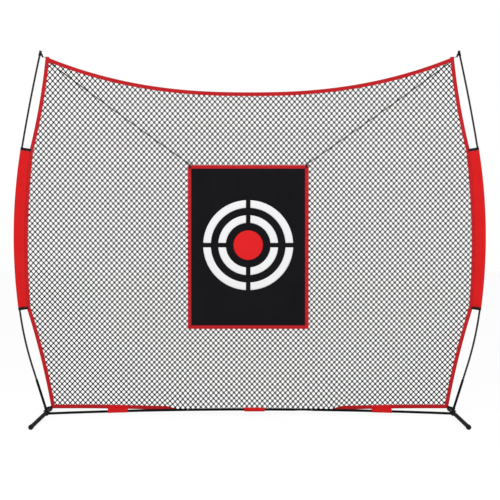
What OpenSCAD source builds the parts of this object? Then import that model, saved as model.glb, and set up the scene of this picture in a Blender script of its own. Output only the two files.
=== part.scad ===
// Free-standing sports net: two bow poles in a flat steel base stretch a diamond mesh net with a hung target.
// +X is to the right, +Y to the back and +Z up. The origin is the middle of the footprint, on the floor.

/* [Base] */
// Distance between the two foot tubes, axis to axis
foot_span = 2622; // [2610:1:2640]
// Outside diameter of the base bar
bar_d = 16; // [14:0.5:19]
// Wall of every base tube
tube_wall = 1.2; // [1:0.1:1.5]
// Height of the base bar's axis at its ends
bar_end_z = 10; // [9.8:0.1:11.5]
// How far the net's pull lifts the middle of the bar
bar_rise = 26; // [15:1:34]
// Distance of the base bar in front of the poles
bar_setback = 20; // [19:0.5:22]
// Length of the middle tube of the bar
bar_middle_l = 860; // [600:10:1000]
// Length of the narrowed tube end inside the middle tube
swage_l = 60; // [50:1:90]
// Distance from the joint to its snap button
button_inset = 30; // [25:1:32]

/* [Feet] */
// Outside diameter of a foot tube
foot_d = 25; // [22:0.5:25.5]
// Reach of a foot in front of the poles
foot_front = 635; // [500:5:800]
// Reach of a foot behind the poles
foot_rear = 165; // [140:5:250]
// Distance of the pivot bolt in front of the poles
pivot_setback = 47; // [46:1:52]
// Outside diameter of a rubber foot cap
cap_d = 31; // [30.5:0.5:33]
// Length of a rubber foot cap
cap_l = 32; // [25:1:45]
// Depth of the flat under a foot cap
cap_flat = 0.5; // [0.3:0.1:0.8]
// Diameter of the pivot bolt
bolt_d = 6; // [5:0.5:8]

/* [Bow poles] */
// Outside diameter of a pole
pole_d = 12.5; // [11:0.5:13]
// Bore of a pole
pole_bore = 6; // [5:0.5:8]
// Outward lean of a pole at its foot, in degrees
pole_lean = 17.7; // [17:0.1:18.5]
// Length of a pole that stays straight at its foot
pole_straight_l = 302; // [250:2:320]
// Place along a pole where its middle bend starts
bend_low_s = 660; // [640:2:666]
// Place along a pole where its middle bend ends
bend_high_s = 1740; // [1734:2:1760]
// Length of the lower pole section, from the height of the hub
lower_l = 780; // [745:5:800]
// Length of the middle pole section
middle_l = 784; // [740:2:840]
// Length of the upper pole section
upper_l = 794; // [760:2:830]
// Radius of the bend below the sleeve
lower_r = 2090; // [2000:10:2200]
// Radius of the bend along the sleeve
middle_r = 3582; // [3450:2:3700]
// Radius of the bend above the sleeve
upper_r = 11335; // [10000:5:13000]
// Length of a joint ferrule
ferrule_l = 80; // [50:2:100]
// Wall of a joint ferrule
ferrule_wall = 1; // [0.8:0.1:1.2]
// Diameter of the shock cord in the poles
shock_d = 3; // [2.5:0.5:4]
// Length of a pole socket
socket_l = 206; // [150:2:212]
// Wall of a pole socket
socket_wall = 1.8; // [1.2:0.1:2.2]

/* [Net] */
// Distance of the net's top corners inside the pole tips
corner_in = 33; // [31:1:36]
// Distance of the net's top corners below the pole tips
corner_drop = 32; // [30:1:36]
// Width of the net between its bottom corners
net_bottom_w = 2558; // [2500:2:2570]
// Depth of the curve of the top edge
net_top_sag = 230; // [150:10:300]
// Height of the bottom corners
net_bottom_z = 38; // [34:1:50]
// Height of the bottom edge in the middle
net_middle_z = 21; // [18:1:28]
// Half width of the net at the top of the sleeve
net_shoulder_x = 1421; // [1410:1:1425]
// Half width of the net at the foot of the sleeve
net_hip_x = 1440; // [1430:1:1445]
// Outward bulge of the side edge along the sleeve
side_bulge = 25; // [15:1:30]
// Inward sag of the side edge above and below the sleeve
side_sag = 11; // [4:1:14]
// Width of the hem tape
hem_w = 25; // [21:1:28]
// Thickness of the hem tape
hem_t = 2; // [1.5:0.1:2.5]
// Width of a mesh diamond
mesh_w = 230; // [220:5:300]
// Height of a mesh diamond
mesh_h = 250; // [240:5:320]
// Thickness of the twine
twine_d = 4; // [3:0.5:5]

/* [Sleeves, bands and straps] */
// Height of the lower end of the sleeve
sleeve_low_z = 690; // [660:5:710]
// Height of the upper end of the sleeve
sleeve_high_z = 1707; // [1690:1:1730]
// Thickness of the sleeve cloth
cloth_t = 0.8; // [0.6:0.1:1]
// Width of the webbing bands at the sleeve ends
band_w = 17; // [12:1:25]
// Thickness of the webbing
webbing_t = 1.5; // [1:0.1:1.8]
// Width of a strap round the base bar
strap_w = 130; // [80:5:160]
// Distance of the outer straps from the middle
strap_x = 850; // [800:5:900]

/* [Target] */
// Width of the target
target_w = 780; // [600:10:900]
// Height of the target
target_h = 1057; // [900:10:1150]
// Height of the target's top edge
target_top_z = 1610; // [1500:10:1650]
// Sideways place of the target
target_x = -10; // [-20:1:20]
// Distance of the target in front of the net
target_gap = 12; // [11:0.5:20]
// Width of the tape round the target
border_w = 23; // [15:1:30]
// Outer radius of the outer white ring
ring_outer_r = 290; // [270:5:290]
// Outer radius of the inner white ring
ring_inner_r = 193; // [180:1:200]
// Width of a white ring
ring_w = 49; // [40:1:60]
// Radius of the bullseye
bull_r = 95; // [80:1:110]
// Width of the gaps that split the rings
ring_split = 29; // [20:1:40]
// Height of the bullseye above the target's middle
bull_rise = 12; // [0:1:20]
// Diameter of the cords that hold the target
cord_d = 5.5; // [4:0.5:6]

/* [Hidden] */
$fn = 48;
round_fn = $fn;
arc_fn = 720;                  // a long shallow arc needs a fine full circle
LEFT = -1;
RIGHT = 1;

// Clearances
seat = 0.3;                    // between pieces that only lie against each other
slip = 0.1;                    // round a pole, ferrule or bolt that slides in
over = 1;                      // how far a cut runs past the face that it opens

// Places from front to back, and heights of the flat base
pole_y = (foot_front - foot_rear) / 2;
bar_y = pole_y - bar_setback;
pivot_y = pole_y - pivot_setback;
foot_x = foot_span / 2;
foot_z = cap_d / 2 - cap_flat;
plate_t = 1.6;
plate_low_z = foot_z - foot_d / 2 - seat - plate_t;
plate_high_z = foot_z + foot_d / 2 + seat;
deck_z = plate_high_z + plate_t;
web_gap = 0.5;                 // between the foot tube and the bracket's upright web
web_x = foot_x - foot_d / 2 - web_gap;
bracket_w = 2 * (foot_x - web_x + plate_t);

// Base bar: one shallow arc, highest in the middle
bar_half = web_x - plate_t;
bar_r = (bar_half * bar_half + bar_rise * bar_rise) / (2 * bar_rise);
bar_middle_z = bar_end_z + bar_rise;
bar_bore = bar_d - 2 * tube_wall;
swage_d = bar_bore - 2 * slip;
swage_bore = swage_d - 2 * tube_wall;
shoulder_l = 3;                // the step between a tube and its narrowed end
button_x = bar_middle_l / 2 - button_inset;
button_d = 6;
button_tip = 1.6;              // how far a button stands out of the bar
spring_w = 6;
spring_t = 0.5;
spring_reach = sqrt(pow(swage_bore / 2, 2) - pow(spring_w / 2, 2)) - spring_t / 2 - slip;
spring_leg = 8;                // length of a spring leg past the button
spring_l = 24;                 // from the button back to the fold of the spring

// A point of a pole is [x, z, lean]. A run of a pole is [where it starts, where it ends, bend radius].
hub_z = 23;                    // height at which the pole's line is above the foot tube's axis
tip_s = lower_l + middle_l + upper_l;
runs = [
    [0, pole_straight_l, 0],
    [pole_straight_l, bend_low_s, lower_r],
    [bend_low_s, bend_high_s, middle_r],
    [bend_high_s, tip_s, upper_r]
];
function onward(p, l, r) = r == 0
    ? [p[0] + l * sin(p[2]), p[1] + l * cos(p[2]), p[2]]
    : let (lean = p[2] - l / r * 180 / PI)
      [p[0] - r * (cos(p[2]) - cos(lean)), p[1] + r * (sin(p[2]) - sin(lean)), lean];
function run_start(i) = i == 0
    ? [foot_x, hub_z, pole_lean]
    : onward(run_start(i - 1), runs[i - 1][1] - runs[i - 1][0], runs[i - 1][2]);
function run_of(s) = len([for (r = runs) if (s >= r[0]) r]) - 1;
function pole_at(s) = let (i = max(0, run_of(s))) onward(run_start(i), s - runs[i][0], runs[i][2]);
// Points along a pole between two places, moved square to it towards the net
function pole_line(from, to, steps, inward = 0) = [for (i = [0:steps])
    let (p = pole_at(from + (to - from) * i / steps)) [p[0] - inward * cos(p[2]), p[1] + inward * sin(p[2])]];
// The place along the pole that lies at a height, found by halving
function pole_s(z, low = 0, high = tip_s, turns = 24) = turns == 0
    ? (low + high) / 2
    : let (half = (low + high) / 2) pole_at(half)[1] < z ? pole_s(z, half, high, turns - 1) : pole_s(z, low, half, turns - 1);

ferrule_bore = pole_d + 2 * slip;
ferrule_d = ferrule_bore + 2 * ferrule_wall;
socket_bore = pole_d + 2 * slip;
socket_d = socket_bore + 2 * socket_wall;
section_gap = 0.4;             // between two pole sections inside a ferrule
pole_foot_s = (deck_z + seat - hub_z + pole_d / 2 * sin(pole_lean)) / cos(pole_lean);
socket_top_s = (deck_z - hub_z) / cos(pole_lean) + socket_l;
knot_l = 8;                    // the knots that hold the shock cord in the pole ends
knot_d = pole_bore - 2 * slip;
tip_cap_l = 24;
tip_cap_end = 3;
tip_cap_wall = 1;
tip_cap_d = pole_d + 2 * slip + 2 * tip_cap_wall;

// Net outline, on the right side, as points [x, z] from the bottom corner up
function unit(v) = v / norm(v);
function leftward(u) = [-u[1], u[0]];
function span(p, q, sag, steps) = [for (i = [0:steps]) let (t = i / steps) p + t * (q - p) + 4 * sag * t * (1 - t) * leftward(unit(q - p))];
function shifted(path, d) = [for (i = [0:len(path) - 1])
    let (before = path[max(i - 1, 0)], after = path[min(i + 1, len(path) - 1)]) path[i] + d * leftward(unit(after - before))];
function reversed(path) = [for (i = [len(path) - 1:-1:0]) path[i]];
function flipped(path) = [for (p = path) [-p[0], p[1]]];
shoulder = [net_shoulder_x, sleeve_high_z];
hip = [net_hip_x, sleeve_low_z];
tip = pole_at(tip_s);
top_corner = [tip[0] - corner_in, tip[1] - corner_drop];
bottom_corner = [net_bottom_w / 2, net_bottom_z];
side_edge = concat(
    span(bottom_corner, hip, side_sag, 8),
    [for (i = [1:8]) span(hip, shoulder, -side_bulge, 8)[i]],
    [for (i = [1:8]) span(shoulder, top_corner, side_sag, 8)[i]]
);
top_power = 2.35;              // how fast the top edge steepens towards its corners
bottom_wave = 1100;            // half width over which the bottom edge rises
function top_z(x) = top_corner[1] - net_top_sag * (1 - pow(abs(x) / top_corner[0], top_power));
function bottom_z(x) = net_middle_z + (net_bottom_z + 2 - net_middle_z) * (1 - cos(180 * min(abs(x), bottom_wave) / bottom_wave)) / 2;
edge_steps = 28;
function across(w, steps) = [for (i = [0:steps]) w * (2 * i / steps - 1)];
top_edge = [for (x = across(top_corner[0], edge_steps)) [x, top_z(x)]];
bottom_edge = [for (x = across(bottom_corner[0], edge_steps)) [x, bottom_z(x)]];
reach_past = 200;              // how far a cutting outline runs past the net

// Target
target_y = pole_y - target_gap;
panel_t = 1.2;
border_t = 2.4;
print_t = 0.4;
bull_z = target_top_z - target_h / 2 + bull_rise;
ring_wire = 2.8;
ring_r = 12;
ring_axis_z = target_top_z + 4;
tab_w = 12;
tab_l = 26;
tab_t = 1.2;
tab_inset = 14;                // from the target's side edge to the middle of a tab
eye_r = 4;
eye_wire = 3.2;
knot_r = 5.5;
tie_inset = [13, 30];          // from the net's top corner to the knot of the hanging cord
// On each side, in the right-hand frame: the middle of the ring, and the place of the knot
function ring_x(side) = target_w / 2 + side * target_x - tab_inset;
knot_at = [top_corner[0] - tie_inset[0], pole_y - hem_t / 2 - seat - knot_r, top_corner[1] - tie_inset[1]];
function cord_rise(side) = atan2(knot_at[2] - ring_axis_z, knot_at[0] - ring_x(side));
function eye_at(side) = let (out = ring_r + eye_r - eye_wire / 2 - ring_wire / 2 - seat, a = cord_rise(side))
    [ring_x(side) + out * cos(a), target_y, ring_axis_z + out * sin(a)];

// Helpers

module on_side(side) {
    if (side < 0) mirror([1, 0, 0]) children();
    else children();
}

// A flat piece in the plane of the poles, from its outline in X and Z
module upright(t, y = pole_y) {
    translate([0, y, 0]) rotate([90, 0, 0]) linear_extrude(t, center = true) children();
}

// A round tube or rod along the right pole between two places. Where two runs meet, a hair-thin collar makes them one.
module pole_tube(from, to, d, bore = 0) {
    hair = 0.04;
    for (i = [0:len(runs) - 1]) {
        a = i == 0 ? from : max(from, runs[i][0]);
        b = i == len(runs) - 1 ? to : min(to, runs[i][1]);
        r = runs[i][2];
        p = onward(run_start(i), a - runs[i][0], r);
        if (b > a && r == 0)
            translate([p[0], pole_y, p[1]]) rotate([0, p[2], 0]) linear_extrude(b - a) ring_outline(d, bore);
        if (b > a && r > 0)
            translate([p[0] - r * cos(p[2]), pole_y, p[1] + r * sin(p[2])])
                rotate([90, 0, 0]) rotate([0, 0, -p[2]])
                rotate_extrude(angle = (b - a) / r * 180 / PI, $fn = arc_fn) translate([r, 0]) ring_outline(d, bore);
        if (i > 0 && from < runs[i][0] && to > runs[i][0])
            translate([p[0], pole_y, p[1]]) rotate([0, p[2], 0]) linear_extrude(over, center = true)
                ring_outline(d + hair, max(0, bore - hair));
    }
}

// Sweeps an outline along the base bar between two places, with the outline's +X up and its +Y to the front
module along_bar(from, to) {
    start = acos(to / bar_r);
    translate([0, bar_y, bar_middle_z - bar_r]) rotate([90, 0, 0]) rotate([0, 0, start])
        rotate_extrude(angle = acos(from / bar_r) - start, $fn = arc_fn) translate([bar_r, 0]) children();
}
function bar_z(x) = bar_middle_z - bar_r + sqrt(bar_r * bar_r - x * x);

module ring_outline(d, bore) {
    difference() {
        circle(d = d, $fn = round_fn);
        if (bore > 0) circle(d = bore, $fn = round_fn);
    }
}

module rod(from, to, d) {
    v = to - from;
    translate(from) rotate([0, acos(v[2] / norm(v)), atan2(v[1], v[0])]) cylinder(d = d, h = norm(v));
}

module torus(r, wire) {
    rotate_extrude() translate([r, 0]) circle(d = wire);
}

// Everything inside the two side edges, moved in by an inset
module between_sides(inset) {
    side = shifted(side_edge, inset);
    closed = concat([side[0] - [0, reach_past]], side, [side[len(side) - 1] + [0, reach_past]]);
    polygon(concat(closed, reversed(flipped(closed))));
}

// Everything between the top and bottom edges, moved in by an inset
function widened(path) = let (out = [net_hip_x + reach_past, 0], last = path[len(path) - 1])
    concat([[-out[0], path[0][1]]], path, [[out[0], last[1]]]);
module between_ends(inset) {
    polygon(concat(widened(shifted(bottom_edge, inset)), reversed(widened(shifted(top_edge, -inset)))));
}

// A cloth pocket round the right pole, with a flat tail to the net's edge
module pole_pocket(from, to, bore, wall, tail_t) {
    difference() {
        union() {
            upright(tail_t) difference() {
                polygon(concat(pole_line(from, to, 16), reversed(pole_line(from, to, 16, reach_past))));
                between_sides(-seat);
            }
            pole_tube(from, to, bore + 2 * wall);
        }
        pole_tube(from - over, to + over, bore);
    }
}

// Base bar

module button_holes() {
    for (side = [LEFT, RIGHT])
        translate([side * button_x, bar_y, bar_z(button_x)]) rotate([90, 0, 0]) cylinder(d = button_d + 4 * slip, h = bar_d);
}

module base_tube_side() {
    color([0.1, 0.1, 0.11]) difference() {
        union() {
            along_bar(bar_middle_l / 2 - swage_l, bar_middle_l / 2 + slip + shoulder_l) ring_outline(swage_d, 0);
            along_bar(bar_middle_l / 2 + slip, bar_half + bar_d) ring_outline(bar_d, 0);
        }
        along_bar(bar_middle_l / 2 - swage_l - over, bar_middle_l / 2 + slip + shoulder_l + over) ring_outline(swage_bore, 0);
        along_bar(bar_middle_l / 2 + slip + shoulder_l, bar_half + 2 * bar_d) ring_outline(bar_bore, 0);
        translate([bar_half, bar_y - bar_d, 0]) cube([4 * bar_d, 2 * bar_d, 3 * bar_d]);
        button_holes();
    }
}

module base_tube_left() { on_side(LEFT) base_tube_side(); }
module base_tube_right() { on_side(RIGHT) base_tube_side(); }

module base_tube_center() {
    color([0.1, 0.1, 0.11]) difference() {
        along_bar(-bar_middle_l / 2, bar_middle_l / 2) ring_outline(bar_d, bar_bore);
        button_holes();
    }
}

module snap_button() {
    tip = bar_y - bar_d / 2 - button_tip;
    base = bar_y - spring_reach - spring_t / 2 - slip;
    round = 1;
    color([0.6, 0.6, 0.62]) translate([button_x, base, bar_z(button_x)]) rotate([90, 0, 0])
        rotate_extrude() polygon(concat([[0, 0], [button_d / 2, 0]],
            [for (a = [0:15:90]) [button_d / 2 - round * (1 - cos(a)), base - tip - round * (1 - sin(a))]], [[0, base - tip]]));
}

module snap_button_left() { on_side(LEFT) snap_button(); }
module snap_button_right() { on_side(RIGHT) snap_button(); }

// A strip of spring steel folded to a V, whose front leg carries the button
module button_spring() {
    leg = [
        [button_x + spring_leg, -spring_reach], [button_x - spring_leg, -spring_reach],
        [button_x - spring_l, 0], [button_x - spring_leg, spring_reach], [button_x + spring_leg, spring_reach]
    ];
    color([0.45, 0.45, 0.47]) translate([0, bar_y, bar_z(button_x) - spring_w / 2]) linear_extrude(spring_w)
        polygon(concat(shifted(leg, spring_t / 2), reversed(shifted(leg, -spring_t / 2))));
}

module button_spring_left() { on_side(LEFT) button_spring(); }
module button_spring_right() { on_side(RIGHT) button_spring(); }

// Hubs

bracket_front = 16;            // from the pivot to the front end of the bracket
bracket_back = 15;             // from the pole to the back end of the bracket
module bracket_plate(z) {
    l = bracket_front + pivot_setback + bracket_back;
    corner = 5;
    translate([foot_x, pivot_y - bracket_front + l / 2, z]) linear_extrude(plate_t)
        polygon([for (c = [[1, 1, 0], [-1, 1, 90], [-1, -1, 180], [1, -1, 270]], a = [0:22.5:90])
            [c[0] * (bracket_w / 2 - corner) + corner * cos(c[2] + a), c[1] * (l / 2 - corner) + corner * sin(c[2] + a)]]);
}

// Two plates round the foot tube, joined by a web on the side that the foot never sweeps
module hub_bracket() {
    web_front = pivot_y + foot_d / 2 + web_gap;
    color([0.1, 0.1, 0.11]) difference() {
        union() {
            bracket_plate(plate_low_z);
            bracket_plate(plate_high_z);
            translate([web_x - plate_t, web_front, plate_low_z])
                cube([plate_t, pole_y + bracket_back - 5 - web_front, deck_z - plate_low_z]);
        }
        translate([foot_x, pivot_y, 0]) cylinder(d = bolt_d + 2 * slip, h = deck_z + over);
    }
}

module hub_bracket_left() { on_side(LEFT) hub_bracket(); }
module hub_bracket_right() { on_side(RIGHT) hub_bracket(); }

module pole_socket() {
    color([0.1, 0.1, 0.11]) difference() {
        pole_tube(-socket_d, socket_top_s, socket_d, socket_bore);
        translate([foot_x - socket_l / 2, pole_y - socket_d, deck_z - socket_l]) cube([socket_l, 2 * socket_d, socket_l]);
    }
}

module pole_socket_left() { on_side(LEFT) pole_socket(); }
module pole_socket_right() { on_side(RIGHT) pole_socket(); }

washer_t = 1.2;
nut_h = 5;
head_t = 1.3;                  // low head under the bracket
module at_pivots(z) {
    for (side = [LEFT, RIGHT]) translate([side * foot_x, pivot_y, z]) children();
}

module pivot_bolts() {
    color([0.5, 0.5, 0.52]) at_pivots(plate_low_z - head_t) {
        cylinder(d = 2.1 * bolt_d, h = head_t);
        cylinder(d = bolt_d, h = deck_z + washer_t + nut_h + 2.4 - plate_low_z + head_t);
    }
}

module pivot_washers() {
    color([0.6, 0.6, 0.62]) at_pivots(deck_z) linear_extrude(washer_t) ring_outline(2.3 * bolt_d, bolt_d + 2 * slip);
}

module pivot_nuts() {
    color([0.6, 0.6, 0.62]) at_pivots(deck_z + washer_t) difference() {
        cylinder(d = 1.92 * bolt_d, h = nut_h, $fn = 6);
        translate([0, 0, -over]) cylinder(d = bolt_d + slip, h = nut_h + 2 * over);
    }
}

// Feet

module foot_tube() {
    inset = 4;                 // the cap's end wall in front of the tube
    color([0.12, 0.12, 0.13]) difference() {
        translate([foot_x, pole_y + foot_rear - inset, foot_z]) rotate([90, 0, 0])
            linear_extrude(foot_front + foot_rear - 2 * inset) ring_outline(foot_d, foot_d - 2 * tube_wall);
        translate([foot_x, pivot_y, 0]) cylinder(d = bolt_d + 2 * slip, h = 2 * foot_z);
    }
}

// A rubber cap with a rounded end and a flat underneath, made pointing up and laid on its side
module foot_cap(way) {
    end_wall = 4;
    round = 7;
    tip_y = way < 0 ? pole_y - foot_front : pole_y + foot_rear;
    color([0.05, 0.05, 0.055]) difference() {
        translate([foot_x, tip_y - way * cap_l, foot_z]) rotate([-90 * way, 0, 0]) difference() {
            rotate_extrude() polygon(concat([[0, 0], [cap_d / 2 - 1, 0], [cap_d / 2, 1]],
                [for (a = [0:15:90]) [cap_d / 2 - round * (1 - cos(a)), cap_l - round * (1 - sin(a))]], [[0, cap_l]]));
            translate([0, 0, -over]) cylinder(d = foot_d + slip, h = cap_l - end_wall + over);
        }
        translate([foot_x - cap_d, tip_y - 2 * cap_l, -cap_d]) cube([2 * cap_d, 4 * cap_l, cap_d]);
    }
}

module foot_tube_left() { on_side(LEFT) foot_tube(); }
module foot_tube_right() { on_side(RIGHT) foot_tube(); }
module foot_cap_front_left() { on_side(LEFT) foot_cap(-1); }
module foot_cap_front_right() { on_side(RIGHT) foot_cap(-1); }
module foot_cap_rear_left() { on_side(LEFT) foot_cap(1); }
module foot_cap_rear_right() { on_side(RIGHT) foot_cap(1); }

// Bow poles

module pole_section(from, to) {
    color([0.13, 0.13, 0.14]) pole_tube(from + section_gap / 2, to - section_gap / 2, pole_d, pole_bore);
}

module ferrule(middle) {
    color([0.7, 0.7, 0.72]) pole_tube(middle - ferrule_l / 2, middle + ferrule_l / 2, ferrule_d, ferrule_bore);
}

module shock_cord() {
    foot = pole_foot_s + seat;
    color([0.85, 0.85, 0.82]) {
        pole_tube(foot + knot_l / 2, tip_s - knot_l / 2, shock_d);
        pole_tube(foot, foot + knot_l, knot_d);
        pole_tube(tip_s - knot_l - seat, tip_s - seat, knot_d);
    }
}

module tip_cap() {
    color([0.05, 0.05, 0.05]) difference() {
        pole_tube(tip_s - tip_cap_l, tip_s + tip_cap_end, tip_cap_d);
        pole_tube(tip_s - tip_cap_l - over, tip_s, pole_d + 2 * slip);
    }
}

module pole_lower_left() { on_side(LEFT) pole_section(pole_foot_s - section_gap / 2, lower_l); }
module pole_lower_right() { on_side(RIGHT) pole_section(pole_foot_s - section_gap / 2, lower_l); }
module pole_middle_left() { on_side(LEFT) pole_section(lower_l, lower_l + middle_l); }
module pole_middle_right() { on_side(RIGHT) pole_section(lower_l, lower_l + middle_l); }
module pole_upper_left() { on_side(LEFT) pole_section(lower_l + middle_l, tip_s); }
module pole_upper_right() { on_side(RIGHT) pole_section(lower_l + middle_l, tip_s); }
module ferrule_lower_left() { on_side(LEFT) ferrule(lower_l); }
module ferrule_lower_right() { on_side(RIGHT) ferrule(lower_l); }
module ferrule_upper_left() { on_side(LEFT) ferrule(lower_l + middle_l); }
module ferrule_upper_right() { on_side(RIGHT) ferrule(lower_l + middle_l); }
module shock_cord_left() { on_side(LEFT) shock_cord(); }
module shock_cord_right() { on_side(RIGHT) shock_cord(); }
module tip_cap_left() { on_side(LEFT) tip_cap(); }
module tip_cap_right() { on_side(RIGHT) tip_cap(); }

// Net and hem

// Two families of straight twines that cross in diamonds, cut to the inside of the hem
module net_mesh() {
    slope = atan2(mesh_h, mesh_w);
    half = max(net_hip_x, net_shoulder_x) + side_bulge;
    rise = half * mesh_h / mesh_w;
    first = floor((net_middle_z - rise) / mesh_h);
    last = ceil((top_corner[1] + rise) / mesh_h);
    color([0.08, 0.08, 0.08]) upright(twine_d) intersection() {
        between_sides(hem_w + seat);
        between_ends(hem_w + seat);
        union() {
            for (k = [first:last], way = [-1, 1])
                translate([0, k * mesh_h]) rotate(way * slope) square([2 * (half + mesh_w) / cos(slope), twine_d], center = true);
        }
    }
}

module hem_top() {
    color([0.75, 0.13, 0.17]) upright(hem_t) intersection() {
        polygon(concat(top_edge, reversed(shifted(top_edge, -hem_w))));
        between_sides(hem_w + seat);
    }
}

module hem_bottom() {
    color([0.75, 0.13, 0.17]) upright(hem_t) intersection() {
        polygon(concat(bottom_edge, reversed(shifted(bottom_edge, hem_w))));
        between_sides(hem_w + seat);
    }
}

module hem_side() {
    color([0.75, 0.13, 0.17]) upright(hem_t) polygon(concat(side_edge, reversed(shifted(side_edge, hem_w))));
}

module hem_left() { on_side(LEFT) hem_side(); }
module hem_right() { on_side(RIGHT) hem_side(); }

// Sleeves, bands, loops and straps

sleeve_from = pole_s(sleeve_low_z);
sleeve_to = pole_s(sleeve_high_z);
pocket_bore = ferrule_d + 2 * slip;    // the sleeve and its bands slide over the ferrules
module sleeve() {
    color([0.84, 0.14, 0.14]) pole_pocket(sleeve_from, sleeve_to, pocket_bore, cloth_t, 2 * cloth_t);
}

module sleeve_bands() {
    color([0.04, 0.04, 0.04]) for (from = [sleeve_from - seat - band_w, sleeve_to + seat])
        pole_pocket(from, from + band_w, pocket_bore, webbing_t, webbing_t);
}

module sleeve_left() { on_side(LEFT) sleeve(); }
module sleeve_right() { on_side(RIGHT) sleeve(); }
module sleeve_bands_left() { on_side(LEFT) sleeve_bands(); }
module sleeve_bands_right() { on_side(RIGHT) sleeve_bands(); }

tail_w = 11;
tail_l = 40;
tail_lean = 23;                // of the tail from upright, in degrees
pocket_l = 26;                 // of the pocket over the pole tip
tail_end = [tip[0], tip[1]] - tail_l * [sin(tail_lean), cos(tail_lean)];

// A webbing pocket over the pole tip, whose tail runs down to the net's corner
module corner_loop_top() {
    bore = tip_cap_d + 2 * slip;
    way = [sin(tail_lean), cos(tail_lean)];
    color([0.05, 0.05, 0.05]) difference() {
        union() {
            upright(webbing_t) polygon(concat(
                shifted([tail_end, tail_end + tail_l * way], tail_w / 2),
                reversed(shifted([tail_end, tail_end + tail_l * way], -tail_w / 2))));
            pole_tube(tip_s - pocket_l, tip_s + tip_cap_end, bore + 2 * webbing_t);
        }
        pole_tube(tip_s - pocket_l - 2 * tail_l, tip_s + tip_cap_end + over, bore);
    }
}

// A thin cord from the tail's end to the net's top corner
corner_cord_d = 3;
module corner_cords() {
    last = len(side_edge) - 1;
    hold = top_corner + 7 * unit(side_edge[last - 1] - top_corner);
    way = unit(hold - tail_end);
    turned = acos(way * [-sin(tail_lean), -cos(tail_lean)]);
    square_on = acos(way * leftward(unit(side_edge[last] - side_edge[last - 1])));
    from = tail_end + (seat + corner_cord_d / 2 * tan(turned)) * way;
    to = hold - (seat / cos(square_on) + corner_cord_d / 2 * tan(square_on)) * way;
    color([0.08, 0.08, 0.08]) for (side = [LEFT, RIGHT]) on_side(side)
        rod([from[0], pole_y, from[1]], [to[0], pole_y, to[1]], corner_cord_d);
}

// A webbing loop round the socket that holds the net's bottom corner
loop_low_s = 11;
loop_w = 12;
module corner_loop_bottom() {
    color([0.05, 0.05, 0.05]) pole_pocket(loop_low_s, loop_low_s + loop_w, socket_d + 2 * slip, webbing_t, webbing_t);
}

module corner_loop_top_left() { on_side(LEFT) corner_loop_top(); }
module corner_loop_top_right() { on_side(RIGHT) corner_loop_top(); }
module corner_loop_bottom_left() { on_side(LEFT) corner_loop_bottom(); }
module corner_loop_bottom_right() { on_side(RIGHT) corner_loop_bottom(); }

// A hook-and-loop strap round the bar, with its tail up the front of the net's hem
module strap(x) {
    wrap = bar_d + 2 * seat;
    back = -(bar_setback - hem_t / 2 - seat - webbing_t / 2);
    hem_foot = bottom_z(x) - bar_z(x);
    start = (wrap + webbing_t) / 2;
    tail = [[start * sin(12), -start * cos(12)], [max(4, hem_foot - 4), back], [hem_foot + hem_w - 2, back]];
    color([0.84, 0.14, 0.14]) difference() {
        union() {
            along_bar(x - strap_w / 2, x + strap_w / 2) ring_outline(wrap + 2 * webbing_t, 0);
            along_bar(x - strap_w / 2, x + strap_w / 2)
                polygon(concat(shifted(tail, webbing_t / 2), reversed(shifted(tail, -webbing_t / 2))));
        }
        along_bar(x - strap_w / 2 - over, x + strap_w / 2 + over) ring_outline(wrap, 0);
    }
}

module strap_left() { strap(-strap_x); }
module strap_center() { strap(30); }
module strap_right() { strap(strap_x); }

// Target and what holds it

module on_target() {
    translate([target_x, target_y, target_top_z - target_h / 2]) rotate([90, 0, 0]) children();
}

module target_panel() {
    color([0.1, 0.1, 0.11]) on_target()
        cube([target_w - 2 * border_w - 2 * seat, target_h - 2 * border_w - 2 * seat, panel_t], center = true);
}

module target_border() {
    color([0.75, 0.13, 0.17]) on_target() linear_extrude(border_t, center = true) difference() {
        square([target_w, target_h], center = true);
        square([target_w - 2 * border_w, target_h - 2 * border_w], center = true);
    }
}

module printed() {
    on_target() translate([0, bull_rise, panel_t / 2]) linear_extrude(print_t) children();
}

module target_rings() {
    color([0.95, 0.95, 0.95]) printed() difference() {
        for (r = [ring_inner_r, ring_outer_r]) ring_outline(2 * r, 2 * (r - ring_w));
        for (turn = [0, 90]) rotate(turn) square([3 * ring_outer_r, ring_split], center = true);
    }
}

module target_bullseye() {
    color([0.88, 0.15, 0.15]) printed() circle(r = bull_r);
}

// Webbing tabs sewn to the target's top corners, each round the straight side of a ring
module target_tabs() {
    bore = ring_wire + 2 * seat;
    face = border_t / 2;
    color([0.05, 0.05, 0.05]) for (side = [LEFT, RIGHT]) on_side(side)
        translate([ring_x(side) - tab_w / 2, target_y, ring_axis_z]) rotate([90, 0, 90]) linear_extrude(tab_w) difference() {
            union() {
                circle(d = bore + 2 * tab_t);
                translate([-face - tab_t, -tab_l]) square([tab_t, tab_l]);
            }
            circle(d = bore);
        }
}

// A D-shaped ring: the target swings on its straight side and the cord's eye runs on its bow
module hanging_ring(side) {
    color([0.1, 0.1, 0.11]) translate([ring_x(side), target_y, ring_axis_z]) {
        rotate([90, 0, 0]) rotate_extrude(angle = 180) translate([ring_r, 0]) circle(d = ring_wire);
        rotate([0, 90, 0]) cylinder(d = ring_wire, h = 2 * ring_r, center = true);
        for (end = [-1, 1]) translate([end * ring_r, 0, 0]) sphere(d = ring_wire);
    }
}

module hanging_ring_left() { on_side(LEFT) hanging_ring(LEFT); }
module hanging_ring_right() { on_side(RIGHT) hanging_ring(RIGHT); }

// A taut cord from a knot on the net's corner to an eye on the ring
module hanging_cord(side) {
    eye = eye_at(side);
    a = cord_rise(side);
    color([0.06, 0.06, 0.06]) {
        translate(eye) rotate([0, -a, 0]) torus(eye_r, eye_wire);
        rod(eye + eye_r * [cos(a), 0, sin(a)], knot_at, cord_d);
        translate(knot_at) sphere(r = knot_r);
    }
}

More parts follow.
